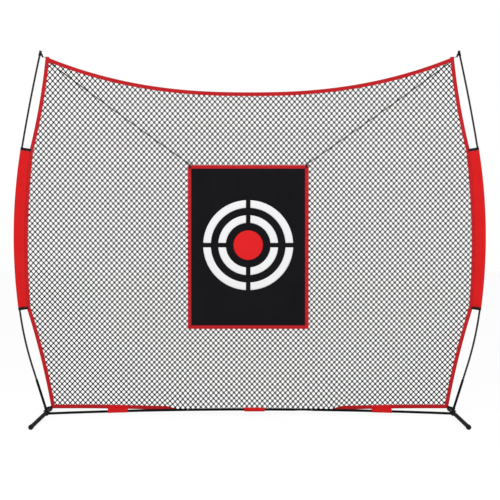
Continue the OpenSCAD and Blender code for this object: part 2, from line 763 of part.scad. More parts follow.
module hanging_cord_left() { on_side(LEFT) hanging_cord(LEFT); }
module hanging_cord_right() { on_side(RIGHT) hanging_cord(RIGHT); }

base_tube_left();
base_tube_center();
base_tube_right();
hub_bracket_left();
hub_bracket_right();
pole_socket_left();
pole_socket_right();
pivot_bolts();
pivot_washers();
pivot_nuts();
pole_lower_left();
pole_lower_right();
pole_middle_left();
pole_middle_right();
pole_upper_left();
pole_upper_right();
ferrule_lower_left();
ferrule_lower_right();
ferrule_upper_left();
ferrule_upper_right();
shock_cord_left();
shock_cord_right();
tip_cap_left();
tip_cap_right();
net_mesh();
hem_top();
hem_bottom();
hem_left();
hem_right();
sleeve_left();
sleeve_right();
sleeve_bands_left();
sleeve_bands_right();
strap_left();
strap_center();
strap_right();
corner_loop_top_left();
corner_loop_top_right();
corner_cords();
corner_loop_bottom_left();
corner_loop_bottom_right();
hanging_cord_left();
hanging_cord_right();
hanging_ring_left();
hanging_ring_right();
button_spring_left();
button_spring_right();
foot_tube_left();
foot_cap_front_left();
foot_cap_rear_left();
foot_tube_right();
foot_cap_front_right();
foot_cap_rear_right();
snap_button_left();
snap_button_right();
target_panel();
target_border();
target_rings();
target_bullseye();
target_tabs();
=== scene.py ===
"""Looks of a free-standing sports net: twine, hem tape, sleeves, a hung target and studio light.

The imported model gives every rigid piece. This script dresses those pieces, and builds the cloth,
the cords and the netting round them in the same frame: +X right, +Y back, +Z up. Sizes and lines
are in millimetres, and only the points of a mesh are in metres.
"""

import logging
import math
from dataclasses import dataclass, field
from enum import Enum, IntEnum
from functools import cache
from itertools import pairwise
from typing import Callable, ClassVar, Sequence

import bmesh
import bpy
import numpy as np
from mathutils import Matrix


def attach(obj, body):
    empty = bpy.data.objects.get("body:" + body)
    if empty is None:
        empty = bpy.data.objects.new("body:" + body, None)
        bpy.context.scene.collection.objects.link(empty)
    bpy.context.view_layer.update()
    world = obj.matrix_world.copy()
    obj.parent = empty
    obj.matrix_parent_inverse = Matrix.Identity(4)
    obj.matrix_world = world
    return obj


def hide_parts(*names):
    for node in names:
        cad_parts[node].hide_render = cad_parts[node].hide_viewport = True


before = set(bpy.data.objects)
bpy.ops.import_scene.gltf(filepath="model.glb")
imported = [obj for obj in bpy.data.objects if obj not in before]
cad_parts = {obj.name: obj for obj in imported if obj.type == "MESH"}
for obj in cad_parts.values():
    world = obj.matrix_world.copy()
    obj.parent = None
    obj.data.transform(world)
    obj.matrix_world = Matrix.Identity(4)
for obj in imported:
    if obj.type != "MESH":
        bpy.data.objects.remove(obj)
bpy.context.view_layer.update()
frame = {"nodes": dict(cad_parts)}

LOG = logging.getLogger("sports_net")
MM = 0.001
WEAVE_UV = "lay"  # the UV layer of every cloth piece, in metres along and across it
Colour = tuple[float, float, float, float]
Source = bpy.types.Node | bpy.types.NodeSocket


class Side(Enum):
    """The two mirrored halves of the net."""

    LEFT = -1
    RIGHT = 1

    @property
    def word(self) -> str:
        """The side's word in node and piece names."""
        return self.name.lower()

    def of(self, points: np.ndarray) -> np.ndarray:
        """Points of the right-hand half, moved to this side."""
        return points * np.array([self.value, 1, 1])


class Face(IntEnum):
    """The two faces of the net, by their direction along Y."""

    FRONT = -1
    BACK = 1

    @property
    def out(self) -> tuple[float, float, float]:
        """The direction out of this face."""
        return 0.0, float(self), 0.0


class Body(Enum):
    """The bodies that cloth, cord and twine move with."""

    STAND = "stand"
    TARGET = "target"


class Slot(Enum):
    """Names of material slots for cloth, cord and twine."""

    TWINE = "net_twine"
    CORD = "black_cord"
    WEBBING = "black_webbing"
    TAPE = "red_webbing"
    OXFORD = "red_oxford"
    TARGET = "target_cloth"
    WHITE = "white_print"
    RED = "red_print"


class Lay(Enum):
    """Which way a family of net twines runs."""

    RISING = 1
    FALLING = -1


class Held(Enum):
    """How much a wrap waves between the pole and the net."""

    TAUT = 0.35
    SOFT = 1.5


# Colour and nodes


def linear(code: str) -> Colour:
    """Turn an sRGB hex colour into Blender's linear RGBA.

    Args:
        code: Six hex digits after a hash.

    Returns:
        Linear red, green and blue, and an alpha of 1.
    """
    parts = [int(code[i : i + 2], 16) / 255 for i in (1, 3, 5)]
    red, green, blue = (c / 12.92 if c <= 0.04045 else ((c + 0.055) / 1.055) ** 2.4 for c in parts)
    return red, green, blue, 1.0


def feed(tree: bpy.types.NodeTree, node: bpy.types.Node, inputs: dict) -> None:
    """Set or link inputs of a node.

    Args:
        tree: The tree that holds the node.
        node: The node.
        inputs: By input name or number, a value, an output, or a node for its first output.
    """
    for name, given in inputs.items():
        source = given.outputs[0] if isinstance(given, bpy.types.Node) else given
        if isinstance(source, bpy.types.NodeSocket):
            tree.links.new(source, node.inputs[name])
        else:
            node.inputs[name].default_value = source


def add(
    tree: bpy.types.NodeTree, kind: str, inputs: dict | None = None, **settings: object
) -> bpy.types.Node:
    """Add a node with its settings and links.

    Args:
        tree: The tree that takes the node.
        kind: The node's type name, after ShaderNode.
        inputs: What its inputs are set or linked to, as for feed.
        **settings: Attributes of the node itself.

    Returns:
        The new node.
    """
    node = tree.nodes.new(f"ShaderNode{kind}")
    for name, value in settings.items():
        setattr(node, name, value)
    feed(tree, node, inputs or {})
    return node


@dataclass(frozen=True)
class Noise:
    """Soft noise over a piece's own coordinates, about 0.5, or spread over a range."""

    mm: float | tuple[float, float, float]
    detail: float = 3.0
    low: float = 0.0
    high: float = 1.0
    core: ClassVar[tuple[float, float]] = (0.3, 0.7)

    def plain(self, tree: bpy.types.NodeTree) -> bpy.types.Node:
        """The noise as it comes.

        Args:
            tree: The material's node tree.

        Returns:
            The noise's node.
        """
        place = add(tree, "TexCoord").outputs["Object"]
        scale = 1 / (np.broadcast_to(self.mm, 3) * MM)
        scaled = add(tree, "VectorMath", {0: place, 1: tuple(scale)}, operation="MULTIPLY")
        return add(tree, "TexNoise", {"Vector": scaled, "Scale": 1.0, "Detail": self.detail})

    def spread(self, tree: bpy.types.NodeTree, base: float = 0.0) -> bpy.types.Node:
        """The middle of the noise, spread over the range.

        Args:
            tree: The material's node tree.
            base: What the range's ends are added to.

        Returns:
            The last node of the pattern.
        """
        core = {"From Min": self.core[0], "From Max": self.core[1]}
        ends = {"To Min": base + self.low, "To Max": base + self.high}
        return add(tree, "MapRange", {"Value": self.plain(tree)} | core | ends)


# Finishes


@dataclass(frozen=True)
class Finish:
    """A real material: its colour and roughness, and the other colour and depth of its pattern."""

    name: str
    colour: str
    roughness: float
    other: str
    depth_mm: float
    skin: ClassVar[dict[str, float]] = {}
    patches: ClassVar[Noise]
    shades: ClassVar[Noise | None]
    grain: ClassVar[Noise]

    def share(self, tree: bpy.types.NodeTree) -> Source:
        """How much of the other colour shows."""
        return self.patches.spread(tree)

    def pattern(self, tree: bpy.types.NodeTree) -> tuple[Source, Source]:
        """What colours and raises the surface.

        Args:
            tree: The material's node tree.

        Returns:
            The base colour, and the height from 0 to 1.
        """
        ends = {6: linear(self.colour), 7: linear(self.other)}
        mixed = add(tree, "Mix", {0: self.share(tree)} | ends, data_type="RGBA")
        return mixed.outputs[2], self.grain.plain(tree)

    def material(self) -> bpy.types.Material:
        """The material of this finish, made once.

        Returns:
            The material.
        """
        known = bpy.data.materials.get(self.name)
        if known:
            return known
        made = bpy.data.materials.new(self.name)
        made.use_nodes = True
        made.diffuse_color = linear(self.colour)
        tree = made.node_tree
        tree.nodes.clear()
        plain = {"Base Color": linear(self.colour), "Roughness": self.roughness}
        shader = add(tree, "BsdfPrincipled", plain | self.skin)
        colour, height = self.pattern(tree)
        bump = add(tree, "Bump", {"Distance": self.depth_mm * MM, "Height": height})
        feed(tree, shader, {"Base Color": colour, "Normal": bump})
        if self.shades:
            feed(tree, shader, {"Roughness": self.shades.spread(tree, self.roughness)})
        add(tree, "OutputMaterial", {"Surface": shader})
        return made

    def wear(self, part: bpy.types.Object) -> None:
        """Put this finish in every material slot of a piece.

        Args:
            part: The piece.
        """
        for held in part.material_slots:
            held.material = self.material()
        if not part.material_slots:
            part.data.materials.append(self.material())


def thread_waves(tree: bpy.types.NodeTree, wave_mm: Sequence[float]) -> dict[int, Source]:
    """How far the waves of the threads have turned, along and across the lay.

    Args:
        tree: The material's node tree.
        wave_mm: The length of a wave each way.

    Returns:
        Two turns in radians, as inputs of a node.
    """
    laid = add(tree, "UVMap", uv_map=WEAVE_UV)
    turns = (*(2 * math.pi / (mm * MM) for mm in wave_mm), 0)
    scaled = add(tree, "VectorMath", {0: laid, 1: turns}, operation="MULTIPLY")
    return dict(enumerate(add(tree, "SeparateXYZ", {0: scaled}).outputs[:2]))


@dataclass(frozen=True)
class Woven(Finish):
    """Woven polyester or nylon: rows of thread crowns with darker gaps, faded in soft patches."""

    worn: str
    warp_mm: float
    weft_mm: float
    sheen: float
    fade_mm: float = 90.0
    crown_top: ClassVar[float] = 0.45
    faded: ClassVar[float] = 0.12
    filled: ClassVar[tuple[float, float]] = (1.0, 0.0)
    shades: ClassVar[Noise] = Noise(40.0, low=-0.06, high=0.06)

    @property
    def skin(self) -> dict[str, float]:
        """Cloth scatters what it mirrors, and has a little sheen from its fibre ends."""
        return {"Specular IOR Level": 0.1, "Sheen Weight": self.sheen, "Sheen Roughness": 0.5}

    def pattern(self, tree: bpy.types.NodeTree) -> tuple[Source, Source]:
        """Threads colour and raise the surface, and fading lightens it in patches.

        Args:
            tree: The material's node tree.

        Returns:
            The base colour, and the height from 0 to 1.
        """
        turns = thread_waves(tree, (2 * self.warp_mm, 2 * self.weft_mm))
        waves = {i: add(tree, "Math", {0: turn}, operation="SINE") for i, turn in turns.items()}
        both = add(tree, "Math", waves, operation="MULTIPLY")
        pillow = add(tree, "Math", {0: both}, operation="ABSOLUTE")
        crown = add(tree, "MapRange", {"Value": pillow, "From Max": self.crown_top})
        full, least = self.filled
        cover = add(tree, "MapRange", {"Value": crown, "From Max": full, "To Min": least})
        ends = {6: linear(self.other), 7: linear(self.colour)}
        threads = add(tree, "Mix", {0: cover} | ends, data_type="RGBA").outputs[2]
        fading = Noise(self.fade_mm, high=self.faded).spread(tree)
        worn = {0: fading, 6: threads, 7: linear(self.worn)}
        return add(tree, "Mix", worn, data_type="RGBA").outputs[2], crown


@dataclass(frozen=True)
class Printed(Woven):
    """Screen-print ink that fills a weave evenly, a little thinner over the gaps of the threads."""

    faded: ClassVar[float] = 0.06
    filled: ClassVar[tuple[float, float]] = (0.35, 0.75)
    shades: ClassVar[None] = None


@dataclass(frozen=True)
class Braided(Finish):
    """Braided cord or twine: two crossing sets of strands along the UV lay."""

    pitch_mm: float
    round_mm: float
    groove: ClassVar[float] = -0.4
    skin: ClassVar[dict[str, float]] = {
        "Specular IOR Level": 0.1, "Sheen Weight": 0.02, "Sheen Roughness": 0.5
    }
    shades: ClassVar[Noise] = Noise(25.0, low=-0.05, high=0.05)

    def pattern(self, tree: bpy.types.NodeTree) -> tuple[Source, Source]:
        """Strands slant both ways round the cord, with dark grooves between them.

        Args:
            tree: The material's node tree.

        Returns:
            The base colour, and the height from 0 to 1.
        """
        turns = thread_waves(tree, (self.pitch_mm, self.round_mm))
        slants = [add(tree, "Math", turns, operation=way) for way in ("ADD", "SUBTRACT")]
        waves = [add(tree, "Math", {0: slant}, operation="SINE") for slant in slants]
        high = add(tree, "Math", dict(enumerate(waves)), operation="MAXIMUM")
        crown = add(tree, "MapRange", {"Value": high, "From Min": self.groove})
        ends = {6: linear(self.other), 7: linear(self.colour)}
        return add(tree, "Mix", {0: crown} | ends, data_type="RGBA").outputs[2], crown


@dataclass(frozen=True)
class Coated(Finish):
    """Powder coat on steel: a satin orange-peel skin with pale rubs along its edges."""

    skin: ClassVar[dict[str, float]] = {"Specular IOR Level": 0.03}
    edges: ClassVar[tuple[float, float]] = (0.74, 0.88)
    most_rub: ClassVar[float] = 0.5
    patches: ClassVar[Noise] = Noise(12.0)
    tone: ClassVar[Noise] = Noise(90.0, high=0.05)
    shades: ClassVar[Noise] = Noise(30.0, low=-0.07, high=0.07)
    grain: ClassVar[Noise] = Noise(2.0, 2.0)

    def share(self, tree: bpy.types.NodeTree) -> Source:
        """Sharp edges are rubbed in patches, over a slow change of tone.

        Args:
            tree: The material's node tree.

        Returns:
            How much of the other colour shows.
        """
        edge = add(tree, "NewGeometry").outputs["Pointiness"]
        ends = {"From Min": self.edges[0], "From Max": self.edges[1], "To Max": self.most_rub}
        worn = add(tree, "MapRange", {"Value": edge} | ends)
        rub = add(tree, "Math", {0: worn, 1: self.patches.spread(tree)}, operation="MULTIPLY")
        return add(tree, "Math", {0: rub, 1: self.tone.spread(tree)}, operation="ADD")


@dataclass(frozen=True)
class Metal(Finish):
    """Plated or spring steel: bare metal, dulled in patches, with streaks from its making."""

    streak_mm: tuple[float, float, float] = (2.0, 2.0, 2.0)
    skin: ClassVar[dict[str, float]] = {"Metallic": 1.0}
    patches: ClassVar[Noise] = Noise(6.0, high=0.6)

    @property
    def grain(self) -> Noise:
        """Streaks, which raise the surface and change its roughness."""
        return Noise(self.streak_mm, 2.0, -0.08, 0.1)

    shades = grain


@dataclass(frozen=True)
class Drawn(Finish):
    """Pultruded fibreglass rod: clear resin over black fibres, which run up the pole along Z."""

    skin: ClassVar[dict[str, float]] = {
        "Specular IOR Level": 0.18, "Coat Weight": 0.05, "Coat Roughness": 0.25
    }
    fibre_mm: ClassVar[tuple[float, float, float]] = (1.5, 1.5, 60.0)
    patches: ClassVar[Noise] = Noise(fibre_mm, high=0.5)
    shades: ClassVar[Noise] = Noise(fibre_mm, low=-0.06, high=0.08)
    grain: ClassVar[Noise] = Noise(fibre_mm)


@dataclass(frozen=True)
class Moulded(Finish):
    """Moulded rubber or nylon: a dull skin with a spark-eroded grain, and dust in soft patches."""

    grain_mm: float = 1.2
    skin: ClassVar[dict[str, float]] = {"Specular IOR Level": 0.15}
    patches: ClassVar[Noise] = Noise(9.0, high=0.25)
    shades: ClassVar[Noise] = Noise(14.0, low=-0.08, high=0.08)

    @property
    def grain(self) -> Noise:
        """The even grain of the mould."""
        return Noise(self.grain_mm, 1.0)


# Powder-coated steel tube: satin black, with one soft dark-grey line along the top of each tube.
BASE_PAINT = Coated("powder_coated_tube_steel", "#0A0A0B", 0.58, "#6E6E72", 0.03)
# Powder-coated pressed steel: the same black, a little smoother on the flat plates.
HUB_PAINT = Coated("powder_coated_plate_steel", "#0A0A0B", 0.5, "#6E6E72", 0.03)
# Stove-enamelled wire rings: black gloss on round wire.
RING_ENAMEL = Coated("enamelled_ring_wire", "#141416", 0.3, "#6E6E72", 0.03)
# Black zinc plate on bolts, washers and nuts: dark metal, with a dull shine on its edges.
BLACK_ZINC = Metal("black_zinc_plate", "#3A3A3E", 0.42, "#1E1E21", 0.02)
# Bright zinc plate on the snap buttons: two small sparks of light on the base tube.
ZINC = Metal("bright_zinc_plate", "#B9BBC0", 0.32, "#808084", 0.02)
# Blued spring strip inside the tube ends: dark, with fine rolling lines.
SPRING = Metal("blued_spring_strip", "#4A4D55", 0.38, "#2E3036", 0.02, (12.0, 0.5, 12.0))
# Drawn steel ferrules under the sleeve: bright, with lines along the pole.
FERRULE = Metal("drawn_ferrule_steel", "#A9ABB0", 0.36, "#77797E", 0.02, (1.0, 1.0, 40.0))
# Pultruded fibreglass: near black and smooth, with faint streaks up the pole.
FIBREGLASS = Drawn("pultruded_fibreglass", "#111113", 0.46, "#3A3A3E", 0.03)
# Natural rubber cord in a braided cover, inside the poles.
SHOCK_CORD = Moulded("covered_rubber_cord", "#C9C7BE", 0.8, "#8F8D86", 0.06)
# Injection-moulded nylon tip caps: matt black with a fine grain.
NYLON = Moulded("moulded_nylon", "#141415", 0.5, "#4A4845", 0.06)
# Moulded rubber feet: dead black, with floor dust.
RUBBER = Moulded("moulded_rubber", "#0C0C0D", 0.78, "#3A3835", 0.06)
# Polyester sewing thread: red on the tape and black on the webbing, as raised stitches.
THREAD_RED = Moulded("red_sewing_thread", "#B5262B", 0.7, "#8F1A1F", 0.05, 0.6)
THREAD_BLACK = Moulded("black_sewing_thread", "#222224", 0.7, "#101011", 0.05, 0.6)
# Knotless polyester twine: black and matt, with plies that slant across it.
TWINE = Braided("knotless_polyester_twine", "#111113", 0.7, "#050506", 0.3, 9.0, 7.0)
# Braided nylon cord: black, with strands that cross both ways.
CORD = Braided("braided_nylon_cord", "#151517", 0.62, "#060607", 0.45, 10.0, 5.8)
# Red polyester binding tape: a dense rib, darker than the cloth. Its 1.1 mm rib is drawn at 2.6 mm.
TAPE_RED = Woven("red_binding_tape", "#CE2228", 0.78, "#941116", 0.22, "#DA383C", 2.6, 3.4, 0.04)
# Red Oxford polyester: an even plain weave. Its 0.6 mm threads are drawn at 2.4 mm, to be seen.
OXFORD_RED = Woven(
    "red_oxford_polyester", "#E81D1F", 0.74, "#B21014", 0.18, "#EE2E2E", 2.4, 2.4, 0.04
)
# Black nylon webbing: heavy ribs across the strap. Its 1.2 mm rib is drawn at 2.8 mm.
WEBBING_BLACK = Woven(
    "black_nylon_webbing", "#1A1A1C", 0.68, "#080809", 0.3, "#3A3A3E", 2.8, 4.2, 0.04
)
# Black Oxford polyester of the target: flat, near black, slightly blue. Its 0.6 mm threads are
# drawn at 2.6 mm, and so are those under the ink.
TARGET_CLOTH = Woven(
    "black_oxford_polyester", "#100F14", 0.82, "#08070A", 0.18, "#212026", 2.6, 2.6, 0.03, 160.0
)
# White screen-print ink: opaque on the threads, a touch grey in the gaps between them.
INK_WHITE = Printed(
    "white_screen_ink", "#F6F6F7", 0.6, "#C9C9CC", 0.12, "#E6E6E8", 2.6, 2.6, 0.0, 160.0
)
# Red screen-print ink, brighter than the tape round it.
INK_RED = Printed(
    "red_screen_ink", "#E41E22", 0.58, "#B01317", 0.12, "#EC4244", 2.6, 2.6, 0.0, 160.0
)


class Sewn(Enum):
    """What is sewn: the cloth, its thread and its slot."""

    TAPE = (TAPE_RED, THREAD_RED, Slot.TAPE)
    SLEEVE = (OXFORD_RED, THREAD_RED, Slot.OXFORD)
    STRAP = (OXFORD_RED, THREAD_RED, Slot.TAPE)
    WEBBING = (WEBBING_BLACK, THREAD_BLACK, Slot.WEBBING)




# Lines and meshes


def steps_along(path: np.ndarray) -> np.ndarray:
    """How far along a path each of its points lies, from 0."""
    return np.concatenate([[0.0], np.cumsum(np.linalg.norm(np.diff(path, axis=0), axis=1))])


def sampled(what: np.ndarray, far: np.ndarray, places: np.ndarray) -> np.ndarray:
    """What a path has at given lengths along it.

    Args:
        what: One row for each point of the path.
        far: How far along each point lies.
        places: The wanted lengths.

    Returns:
        One row for each place.
    """
    return np.stack([np.interp(places, far, column) for column in what.T], axis=1)


def evenly(path: np.ndarray, step: float = 1.0, count: int = 0) -> np.ndarray:
    """Space the points of a path evenly.

    Args:
        path: Points, one a row.
        step: The wanted distance between two points.
        count: How many points there are, if it isn't left to the step.

    Returns:
        Points on the same line, with both its ends.
    """
    far = steps_along(path)
    count = count or max(2, int(round(far[-1] / step)) + 1)
    return sampled(path, far, np.linspace(0, far[-1], count))


def leftward(path: np.ndarray) -> np.ndarray:
    """The unit normal to the left of a flat path at each of its points.

    Args:
        path: Points with two coordinates, one a row.

    Returns:
        One unit vector a point.
    """
    along = np.gradient(path, axis=0)
    along /= np.linalg.norm(along, axis=1, keepdims=True)
    return np.stack([-along[:, 1], along[:, 0]], axis=1)


def thickened(profile: np.ndarray, thick: float) -> np.ndarray:
    """The closed outline of a strip that follows a flat profile.

    Args:
        profile: The middle line of the strip, in two coordinates.
        thick: The strip's thickness.

    Returns:
        The outline, up one face and down the other.
    """
    out = leftward(profile) * thick / 2
    return np.concatenate([profile + out, (profile - out)[::-1]])


def folded(
    face: Sequence[tuple[float, float]], fold: Sequence[tuple[float, float]] = ()
) -> np.ndarray:
    """The closed outline of a folded tape's cut.

    Args:
        face: One face from the sewn edge to the fold, as depth and height off the middle.
        fold: Points of the fold itself, on the middle.

    Returns:
        The outline, up one face and down the other.
    """
    return np.array([*face, *fold, *((deep, -high) for deep, high in reversed(face))])


def relaxed(line: np.ndarray, times: int) -> np.ndarray:
    """A line with its bends evened out, and its ends where they were.

    Args:
        line: Points, one a row.
        times: How often each point moves towards its neighbours.

    Returns:
        The new line.
    """
    line = line.copy()
    for _ in range(times):
        line[1:-1] = (line[:-2] + 2 * line[1:-1] + line[2:]) / 4
    return line


def smooth(value: np.ndarray | float) -> np.ndarray | float:
    """An even rise from 0 to 1, level at both ends.

    Args:
        value: How far the rise has gone, held between 0 and 1.

    Returns:
        The eased value.
    """
    held = np.clip(value, 0.0, 1.0)
    return held * held * (3 - 2 * held)


def last_true(test: Callable[[float], bool], end: float, rounds: int = 40) -> float:
    """The largest value for which a test still holds.

    Args:
        test: True up to some value, and False from there on.
        end: A value for which it is False.
        rounds: How often the span is halved.

    Returns:
        The value, by halving.
    """
    low = 0.0
    for _ in range(rounds):
        half = (low + end) / 2
        low, end = (half, end) if test(half) else (low, half)
    return low


def spot(x: np.ndarray | float, y: np.ndarray | float, z: np.ndarray | float) -> np.ndarray:
    """Points in metres.

    Args:
        x: Millimetres to the right.
        y: Millimetres to the back.
        z: Millimetres up.

    Returns:
        Points with X, Y and Z in the last axis.
    """
    return np.stack(np.broadcast_arrays(x, y, z), axis=-1) * MM


def upright(flat: np.ndarray, y: np.ndarray | float) -> np.ndarray:
    """Points in metres from X and Z, and a Y at each point or everywhere."""
    return spot(flat[..., 0], y, flat[..., 1])


def spun(middle: np.ndarray, first: np.ndarray, second: np.ndarray, sides: int) -> np.ndarray:
    """Oval rings round the points of a line.

    Args:
        middle: The points.
        first: From each point to the start of its ring.
        second: From each point to a quarter further round.
        sides: How many points a ring has.

    Returns:
        Ring by point by coordinate.
    """
    turn = np.linspace(0, 2 * math.pi, sides, endpoint=False)[None, :, None]
    return middle[:, None] + first[:, None] * np.cos(turn) + second[:, None] * np.sin(turn)


def tube(
    path: np.ndarray, radii: np.ndarray | float, sides: int, aside: Sequence[float] = (0, 1, 0)
) -> np.ndarray:
    """Rings of a round tube along a path.

    Args:
        path: The tube's middle line, in metres.
        radii: Its radius in millimetres, at each point or everywhere.
        sides: How many points a ring has.
        aside: A direction that the path never runs along.

    Returns:
        Ring by point by coordinate.
    """
    along = np.gradient(path, axis=0)
    along /= np.linalg.norm(along, axis=1, keepdims=True)
    first = np.cross(along, np.asarray(aside, float))
    first /= np.linalg.norm(first, axis=1, keepdims=True)
    wide = np.broadcast_to(radii, len(path))[:, None] * MM
    return spun(path, wide * first, wide * np.cross(along, first), sides)


def in_scene(name: str, data: bpy.types.ID) -> bpy.types.Object:
    """Put a new object in the scene.

    Args:
        name: Its name.
        data: What it shows.

    Returns:
        The object.
    """
    made = bpy.data.objects.new(name, data)
    bpy.context.scene.collection.objects.link(made)
    return made


@dataclass(frozen=True)
class Stitch:
    """One raised stitch of a seam, a short spindle of thread that covers most of its pitch."""

    pitch: float
    wide: float
    proud: float
    cover: ClassVar[float] = 0.72
    faces: ClassVar[tuple[tuple[int, int, int], ...]] = (
        (0, 1, 2), (0, 2, 3), (4, 2, 1), (4, 3, 2), (0, 3, 1), (4, 1, 3)
    )


@dataclass
class Making:
    """A mesh in the making: corners, faces, and UVs in metres for each face corner."""

    corners: list[np.ndarray] = field(default_factory=list)
    faces: list[list[int]] = field(default_factory=list)
    laid: list[np.ndarray] = field(default_factory=list)
    count: int = 0

    def loft(self, rings: np.ndarray) -> None:
        """Skin a row of closed rings with four-sided faces, and fill the first and the last.

        Args:
            rings: Points in metres, as ring by point by coordinate.
        """
        rows, across = rings.shape[:2]
        steps = np.linalg.norm(np.diff(rings, axis=0), axis=2).mean(axis=1)
        u = np.concatenate([[0.0], np.cumsum(steps)])
        middle = rings[rows // 2]
        v = steps_along(np.concatenate([middle, middle[:1]]))
        row, col = np.indices((rows - 1, across)).reshape(2, -1, 1)
        row, col = row + np.array([0, 0, 1, 1]), col + np.array([0, 1, 1, 0])
        self.corners.append(rings.reshape(-1, 3))
        self.faces.extend((self.count + row * across + col % across).tolist())
        self.laid.append(np.stack([u[row], v[col]], axis=-1).reshape(-1, 2))
        for at, way in ((0, -1), (rows - 1, 1)):
            ring = self.count + at * across + np.arange(across)
            self.faces.append(ring[::way].tolist())
            self.laid.append(np.stack([np.full(across, u[at]), v[:across][::way]], axis=1))
        self.count += rows * across

    def lay_flat(self) -> None:
        """Lay the weave square to the upright plane, whatever way the skins above run."""
        at = np.concatenate(self.corners)
        self.laid = [at[np.concatenate(self.faces)][:, (0, 2)]]

    def stitches(
        self, path: np.ndarray, out: np.ndarray | tuple[float, float, float], stitch: Stitch
    ) -> None:
        """Add raised stitches along a seam.

        Args:
            path: The seam, in metres.
            out: The direction out of the cloth, at each point or everywhere.
            stitch: Their sizes.
        """
        far = steps_along(path)
        pitch = stitch.pitch * MM
        starts = np.arange(pitch / 2, far[-1] - pitch, pitch)
        half = stitch.cover * pitch / 2
        first, middle, last = (sampled(path, far, starts + k * half) for k in range(3))
        up = sampled(np.broadcast_to(out, path.shape), far, starts + half)
        side = np.cross(last - first, up)
        side *= stitch.wide * MM / 2 / np.linalg.norm(side, axis=1, keepdims=True)
        top = middle + up * stitch.proud * MM
        made = np.stack([first, middle + side, top, middle - side, last], axis=1)
        base = self.count + 5 * np.arange(len(starts))[:, None]
        for face in stitch.faces:
            self.faces.extend((base + np.array(face)).tolist())
        self.laid.append(np.zeros((3 * len(stitch.faces) * len(starts), 2)))
        self.corners.append(made.reshape(-1, 3))
        self.count += 5 * len(starts)

    def piece(
        self,
        name: str,
        finish: Finish,
        slot: Slot,
        node: str | None = None,
        body: Body = Body.STAND,
        outward: bool = True,
    ) -> bpy.types.Object:
        """Turn the mesh into a piece of the scene.

        Args:
            name: The piece's name.
            finish: What it is made of.
            slot: Not used.
            node: The CAD node that it replaces, if any.
            body: The body it moves with.
            outward: Whether to turn every face outward first.

        Returns:
            The new object.
        """
        mesh = bpy.data.meshes.new(name)
        mesh.from_pydata(np.concatenate(self.corners).tolist(), [], self.faces)
        layer = mesh.uv_layers.new(name=WEAVE_UV)
        layer.data.foreach_set("uv", np.concatenate(self.laid).astype(np.float32).ravel())
        mesh.polygons.foreach_set("use_smooth", [True] * len(mesh.polygons))
        if outward:
            work = bmesh.new()
            work.from_mesh(mesh)
            bmesh.ops.recalc_face_normals(work, faces=work.faces)
            work.to_mesh(mesh)
            work.free()
        mesh.validate()
        made = in_scene(name, mesh)
        finish.wear(made)
        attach(made, body.value)
        if node:
            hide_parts(node)
        LOG.info("%s: %d faces on %s", name, len(mesh.polygons), body.value)
        return made


@dataclass
class Sewing:
    """A piece of cloth in the making, with the stitches through it."""

    cloth: Making = field(default_factory=Making)
    thread: Making = field(default_factory=Making)

    def pieces(
        self, names: tuple[str, str], stuff: Sewn, node: str, body: Body = Body.STAND
    ) -> list[bpy.types.Object]:
        """Turn both into pieces, in place of a CAD node.

        Args:
            names: The name of the cloth and that of its stitches.
            stuff: What they are made of.
            node: The node that the cloth replaces.
            body: The body they move with.

        Returns:
            The cloth and its stitches.
        """
        cloth, thread, slot = stuff.value
        return [
            self.cloth.piece(names[0], cloth, slot, node, body),
            self.thread.piece(names[1], thread, slot, None, body),
        ]


# Lines of the frame and the net, as in the part's source


@dataclass(frozen=True)
class Pole:
    """The bent line of the right-hand pole in the upright plane."""

    foot: tuple[float, float] = (1311.0, 23.0)
    lean: float = 17.7
    ends: tuple[float, ...] = (302.0, 660.0, 1740.0, 2358.0)
    bends: tuple[float, ...] = (0.0, 2090.0, 3582.0, 11335.0)
    plane_y: float = 235.0

    def at(self, s: float) -> tuple[float, float, float]:
        """The place and lean of the pole at a length from its foot.

        Args:
            s: The length from the foot.

        Returns:
            X, Z and the lean from upright in radians.
        """
        x, z = self.foot
        lean = math.radians(self.lean)
        start = 0.0
        for end, bend in zip(self.ends, self.bends):
            run = (s if end == self.ends[-1] else min(s, end)) - start
            if bend == 0:
                x, z = x + run * math.sin(lean), z + run * math.cos(lean)
            else:
                turned = lean - run / bend
                x -= bend * (math.cos(lean) - math.cos(turned))
                z += bend * (math.sin(lean) - math.sin(turned))
                lean = turned
            if s <= end:
                break
            start = end
        return x, z, lean

    def beside(self, s: float, deep: np.ndarray | float) -> np.ndarray:
        """Points square to the pole, towards the net.

        Args:
            s: The length along the pole.
            deep: How far each point lies from the pole's middle.

        Returns:
            X and Z in the last axis.
        """
        x, z, lean = self.at(s)
        return np.array([x, z]) + np.multiply.outer(deep, [-math.cos(lean), math.sin(lean)])

    def height_at(self, z: float) -> float:
        """The length along the pole at which it passes a height."""
        return last_true(lambda s: self.at(s)[1] < z, self.ends[-1])

    @property
    def tip(self) -> np.ndarray:
        """The upper end of the pole."""
        return np.array(self.at(self.ends[-1])[:2])


POLE = Pole()


